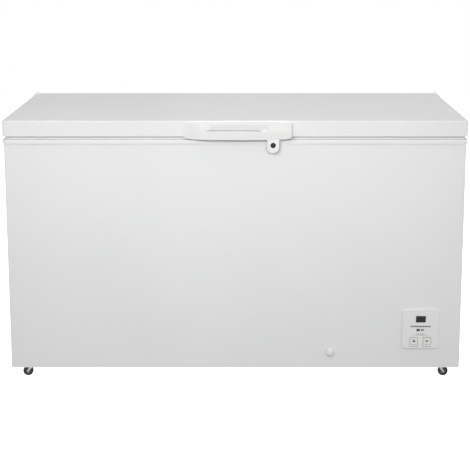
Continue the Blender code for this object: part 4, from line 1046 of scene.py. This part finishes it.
# A helix: radius times (cos, sin) of an angle that grows evenly with height; its ends run in to the middle.
def makeHinges():
    for side in ("left", "right"):
        softened(f"bracket_{side}", f"hinge_bracket_{side}", brightSteel, "cabinet", 0.0003)
        softened(f"leaf_{side}", f"hinge_leaf_{side}", brightSteel, "lid", 0.0003)
        low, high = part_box(f"hinge_spring_{side}")
        x, y = (low.x + high.x) / 2, (low.y + high.y) / 2
        t = np.linspace(0, 1, spring["turns"] * 14)
        z = low.z + spring["wire"] + (high.z - low.z - 2 * spring["wire"]) * t
        radius = spring["radius"] * np.clip(np.minimum(z - low.z, high.z - z) / spring["end"], 0.04, 1) ** 0.6
        angle = 2 * math.pi * spring["turns"] * t
        coil = np.stack([x + radius * np.cos(angle), y + radius * np.sin(angle), z], -1)
        piece = build(f"spring_{side}", [tube(coil, spring["wire"], (0, 0, 1), 7)], brightSteel, "cabinet",
                      (f"hinge_spring_{side}",), smooth=80)
        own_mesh(piece)
        for name, body, spec in (("leaf", "lid", leafScrew), ("bracket", "cabinet", bracketScrew)):
            screws = [screw((x + sx * spec["away"], level), spec["face"], 1, radius=spec["radius"])
                      for sx in (-1, 1) for level in spec["levels"]]
            build(f"{name}_screws_{side}", screws, brightSteel, body)
        low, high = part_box(f"lid_bumper_{side}")
        middle, half = (low + high) / 2, (high - low) / 2
        profile = eased([(0.0, low.y), (0.0, high.y), (half.x - 0.0012, high.y)], 0.0022, 6)
        bumper = carriedRound(half.x, half.z, 0.003, profile, (middle.x, middle.z), "xz", caps=True)
        build(f"bumper_{side}", [bumper],
              whitePlastic, "lid", (f"lid_bumper_{side}",), smooth=60)


wheel = {"bore": 0.0028, "web": 0.0030, "tyre": 0.0105, "ribs": 6, "hub": 0.0046}
fork = {"cheek": 0.0110, "sheet": 0.0018, "crown": 0.0364, "boss": 0.0036, "lean": 0.0085, "rivet": 0.0026}


# Tyre and centre are turned sections. The tread is crowned; flat ribs stiffen the recessed web.
def makeWheel(place):
    low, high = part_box(f"caster_wheel_{place}")
    x, z = (low.x + high.x) / 2, (low.z + high.z) / 2
    y, half, radius = (low.y + high.y) / 2, (high.y - low.y) / 2, z
    tyre, web, hub = wheel["tyre"], wheel["web"], wheel["hub"]
    outer = [(tyre, 0.0), (tyre, -half + 0.0003), (radius - 0.0016, -half + 0.0001),
             (radius - 0.0001, -half + 0.0022), (radius, 0.0)]
    outer += [(r, -w) for r, w in outer[-2:0:-1]]
    section = eased([*outer, outer[0]], 0.0003, 3)[:-1] + (0.0, y)
    build(f"tyre_{place}", [turned(section, (x, z), sides=64, wrapRows=True)],
          wheelPlastic, f"wheel_{place}", (f"caster_wheel_{place}",), smooth=50)
    inner = [(wheel["bore"], -half), (hub, -half), (hub, -web), (tyre - 0.0014, -web),
             (tyre - 0.0014, -half + 0.0006), (tyre - 0.0001, -half + 0.0006)]
    inner += [(r, -w) for r, w in inner[::-1]]
    section = eased([*inner, inner[0]], 0.0002, 2)[:-1] + (0.0, y)
    ribs = []
    for turn in 2 * math.pi * (np.arange(wheel["ribs"]) + 0.5) / wheel["ribs"]:
        along, over = np.array([math.cos(turn), math.sin(turn)]), np.array([-math.sin(turn), math.cos(turn)])
        ends = ((hub - 0.0003, -0.0006), (tyre - 0.0011, -0.0006), (tyre - 0.0011, 0.0006),
                (hub - 0.0003, 0.0006))
        ribs.append(prism([along * r + over * w + (x, z) for r, w in ends], y - half + 0.0016,
                          y + half - 0.0016))
    build(f"wheel_centre_{place}", [turned(section, (x, z), sides=48, wrapRows=True), *ribs],
          greyPlastic, f"wheel_{place}", smooth=50)


# The fork: a round crown, two cheeks that taper from it down to a boss round the axle, and the axle's rivet.
def makeFork(place):
    wheelLow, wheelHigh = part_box(f"caster_wheel_{place}")
    low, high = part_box(f"caster_fork_{place}")
    plateLow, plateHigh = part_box(f"caster_plate_{place}")
    x, y = (wheelLow.x + wheelHigh.x) / 2, (low.y + high.y) / 2
    pivot, axle = (plateLow.x + plateHigh.x) / 2, (wheelLow.z + wheelHigh.z) / 2
    way = 1.0 if pivot > x else -1.0
    boss, crown, sheet = fork["boss"], fork["crown"], fork["sheet"]
    turn = np.linspace(math.pi * 0.62, math.pi * 2.12, 15)
    cheek = np.stack([x + way * boss * np.cos(turn), axle + boss * np.sin(turn)], -1)
    top = [(pivot + way * fork["lean"], crown + 0.0006), (pivot - way * 0.0035, crown + 0.0006)]
    shape = np.vstack([cheek, top])
    away = fork["cheek"]
    sides = [(y - away, y - away + sheet), (y + away - sheet, y + away)]
    patches = [prism(shape, *side) for side in sides]
    crownTop = eased([(0.0, crown), (0.0112, crown), (0.0112, crown + 0.0028), (0.0060, crown + 0.0034),
                      (0.0, crown + 0.0034)], (0.0006, 0.0008, 0.0006), 4)
    patches.append(turned(crownTop, (pivot, y), "xy", 40))
    rivet = eased([(0.0, low.y), (fork["rivet"] * 0.8, low.y), (fork["rivet"], low.y + 0.0008),
                   (fork["rivet"], y), (fork["rivet"], high.y - 0.0008), (fork["rivet"] * 0.8, high.y),
                   (0.0, high.y)], 0.0003, 3)
    patches.append(turned(rivet, (x, axle), sides=24))
    build(f"fork_{place}_steel", patches, dullSteel, f"fork_{place}",
          (f"caster_fork_{place}",), bevel=0.0003)


caster = {"screwAway": 0.0155, "screwFace": 0.0426, "screw": 0.0024}


# Each of the four has a wheel, a fork and a top plate that four screws hold under the cabinet.
def makeCasters():
    for end in ("front", "rear"):
        for side in ("left", "right"):
            place = f"{end}_{side}"
            makeWheel(place)
            makeFork(place)
            softened(f"top_plate_{place}", f"caster_plate_{place}", galvanisedSteel, "cabinet",
                     0.0003)
            low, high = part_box(f"caster_plate_{place}")
            centre = ((low.x + high.x) / 2, (low.y + high.y) / 2)
            away = caster["screwAway"]
            screws = [screw((centre[0] + sx * away, centre[1] + sy * away), caster["screwFace"], -1, "xy",
                            caster["screw"]) for sx in (-1, 1) for sy in (-1, 1)]
            build(f"plate_screws_{place}", screws, brightSteel, "cabinet")


basket = {"half": (0.120, 0.262), "top": 0.784, "wire": 0.0013, "rim": 0.0026, "taper": 0.015,
          "pitchX": 0.026, "pitchY": 0.028, "levels": 5, "ear": 0.062, "earWire": 0.0020,
          "earY": (0.2590, 0.2875)}


# Wires bent into trays both ways, level rings that widen upwards, a thick rim, and
# an ear loop at each end. An ear turns from upright to level, so the direction that
# points away from the middle of its loop carries its section.
def makeBasket():
    low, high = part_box("storage_basket")
    halfX, halfY = basket["half"]
    middle = (low.x + high.x) / 2
    wire, rim, taper = basket["wire"], basket["rim"], basket["taper"]
    floor, top = low.z + wire, basket["top"] - rim
    wires = []
    for y in np.arange(-halfY + 0.034, halfY - 0.033, basket["pitchY"]):
        reach = halfX - rim
        path = eased([(-reach, y, top), (taper - reach, y, floor), (reach - taper, y, floor),
                      (reach, y, top)],
                     0.016, 6)
        wires.append(tube(path + (middle, 0, 0), wire, (0, 1, 0)))
    for x in np.arange(-halfX + 0.030, halfX - 0.029, basket["pitchX"]):
        reach = halfY - rim
        path = eased([(x, -reach, top), (x, taper - reach, floor + 2 * wire),
                      (x, reach - taper, floor + 2 * wire), (x, reach, top)], 0.016, 6)
        wires.append(tube(path + (middle, 0, 0), wire, (1, 0, 0)))
    for level in np.linspace(0.12, 0.86, basket["levels"]):
        inset = taper * (1 - level) + rim + 2 * wire
        u, v = rectangle(halfX, halfY, 0.026, inset)
        z = floor + (top - floor) * level
        wires.append(tube(np.stack([u + middle, v, np.full_like(u, z)], -1), wire, (0, 0, 1), closed=True))
    u, v = rectangle(halfX, halfY, 0.022, rim)
    wires.append(tube(np.stack([u + middle, v, np.full_like(u, top)], -1), rim, (0, 0, 1), 10, closed=True))
    ear, thick = basket["ear"], basket["earWire"]
    (near, far), hook = basket["earY"], high.z - thick
    for way in (-1, 1):
        path = eased([(-ear, near, top - 0.004), (-ear, near, hook), (-ear, far, hook),
                      (ear, far, hook), (ear, near, hook), (ear, near, top - 0.004)],
                     (0.006, 0.010, 0.010, 0.006), 6)
        path = path * (1, way, 1) + (middle, 0, 0)
        wires.append(tube(path, thick, path - path.mean(0) + (0, 0, 0.02), 10))
    build("wire_basket", wires, coatedWire, "basket", ("storage_basket",), smooth=80)


makeShell()
makeCollar()
makeTub()
makeBack()
makeRearCover()
makeGrille()
print("cabinet made")
makeCompressor()
print("machine room made")
makeFascia()
makeDisplay()
makePrint()
makeKeys()
makeDrain()
print("controls and drain made")
makeLidSkin()
makeLidLining()
makeGasket()
makeHandle()
makeLockTab()
makeLock()
makeHinges()
print("lid made")
makeCasters()
makeBasket()
print("casters and basket made")

# Nodes that keep their own shape get their finish here.
carriedOver = {"cabinet_foam": foam, "condenser_coil": copper, "evaporator_coil": bareAluminium,
               "control_box": whitePlastic, "control_board": board, "drain_tube": whitePlastic}
for node, finish in carriedOver.items():
    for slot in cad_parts[node].material_slots:
        slot.material = finish.material


stage = {"floor": 14.0, "floorTone": 0.92, "floorGlow": 0.90}
lights = {
    "key": {"place": (-0.95, -3.20, 2.00), "aim": (-0.40, -0.35, 1.04), "size": (1.6, 0.8), "power": 7.6,
            "spread": 66},
    "second": {"place": (0.75, -3.20, 1.85), "aim": (0.55, -0.35, 1.00), "size": (1.4, 0.8), "power": 3.5,
               "spread": 68},
    "top": {"place": (0.05, -0.35, 2.30), "aim": (0.05, -0.05, 0.85), "size": (0.9, 0.5), "power": 2.4,
            "spread": 180},
    "side": {"place": (3.2, -1.2, 1.4), "aim": (0.7, 0.0, 0.5), "size": (1.8, 1.4), "power": 5.0,
             "spread": 120},
    "behind": {"place": (0.8, 3.4, 0.55), "aim": (0.0, 0.3, 0.5), "size": (2.6, 0.9), "power": 11.0,
               "spread": 180},
}
world = {"heights": (-0.4, 0.6), "below": 0.18, "above": 0.71, "seen": 1.0}
view = {"place": (0.0296, -4.3353, 1.4308), "pitch": 0.1966, "lens": 99.06, "shift": (-0.0203, -0.10)}


# A glowing pale floor and five soft lamps: two in front, one over the lid, one at the right end, one behind.
def makeStage():
    half = stage["floor"] / 2
    mesh = bpy.data.meshes.new("floor")
    mesh.from_pydata([(-half, -half, 0), (half, -half, 0), (half, half, 0), (-half, half, 0)], [],
                     [(0, 1, 2, 3)])
    finish = Finish("paleFloor", {"Roughness": 0.8, "Emission Strength": stage["floorGlow"],
                                  "Emission Color": (1, 1, 1, 1),
                                  "Base Color": (*[stage["floorTone"]] * 3, 1)})
    mesh.materials.append(finish.material)
    floor = bpy.data.objects.new("floor", mesh)
    floor.visible_diffuse = False
    scene.collection.objects.link(floor)
    for name, spec in lights.items():
        data = bpy.data.lights.new(name, "AREA")
        data.shape, data.energy = "RECTANGLE", spec["power"]
        data.size, data.size_y = spec["size"]
        data.spread = math.radians(spec["spread"])
        lamp = bpy.data.objects.new(name, data)
        lamp.location, lamp.visible_camera = spec["place"], False
        direction = Vector(spec["aim"]) - Vector(spec["place"])
        lamp.rotation_euler = direction.to_track_quat("-Z", "Y").to_euler()
        scene.collection.objects.link(lamp)


# The surroundings are a soft grey that brightens upwards; what the camera sees behind the object is white.
def makeWorld():
    made = bpy.data.worlds.new("studio")
    scene.world = made
    made.use_nodes = True
    tree = made.node_tree
    background = tree.nodes["Background"]
    spot = tree.nodes.new("ShaderNodeTexCoord")
    split = tree.nodes.new("ShaderNodeSeparateXYZ")
    tree.links.new(spot.outputs["Generated"], split.inputs[0])
    height = tree.nodes.new("ShaderNodeMapRange")
    for index, value in enumerate((*world["heights"], world["below"], world["above"])):
        height.inputs[index + 1].default_value = value
    tree.links.new(split.outputs["Z"], height.inputs[0])
    path = tree.nodes.new("ShaderNodeLightPath")
    seen = tree.nodes.new("ShaderNodeMix")
    seen.inputs[3].default_value = world["seen"]
    tree.links.new(path.outputs["Is Camera Ray"], seen.inputs[0])
    tree.links.new(height.outputs[0], seen.inputs[2])
    tree.links.new(seen.outputs[0], background.inputs["Strength"])
    background.inputs["Color"].default_value = (1, 1, 1, 1)


def makeCamera():
    data = bpy.data.cameras.new("camera")
    data.lens, data.sensor_width = view["lens"], 36.0
    data.shift_x, data.shift_y = view["shift"]
    camera = bpy.data.objects.new("camera", data)
    camera.location = view["place"]
    camera.rotation_euler = (math.pi / 2 - view["pitch"], 0, 0)
    scene.collection.objects.link(camera)
    scene.camera = camera


makeStage()
makeWorld()
makeCamera()
scene.view_settings.view_transform = "Standard"
print("stage, light and camera made")
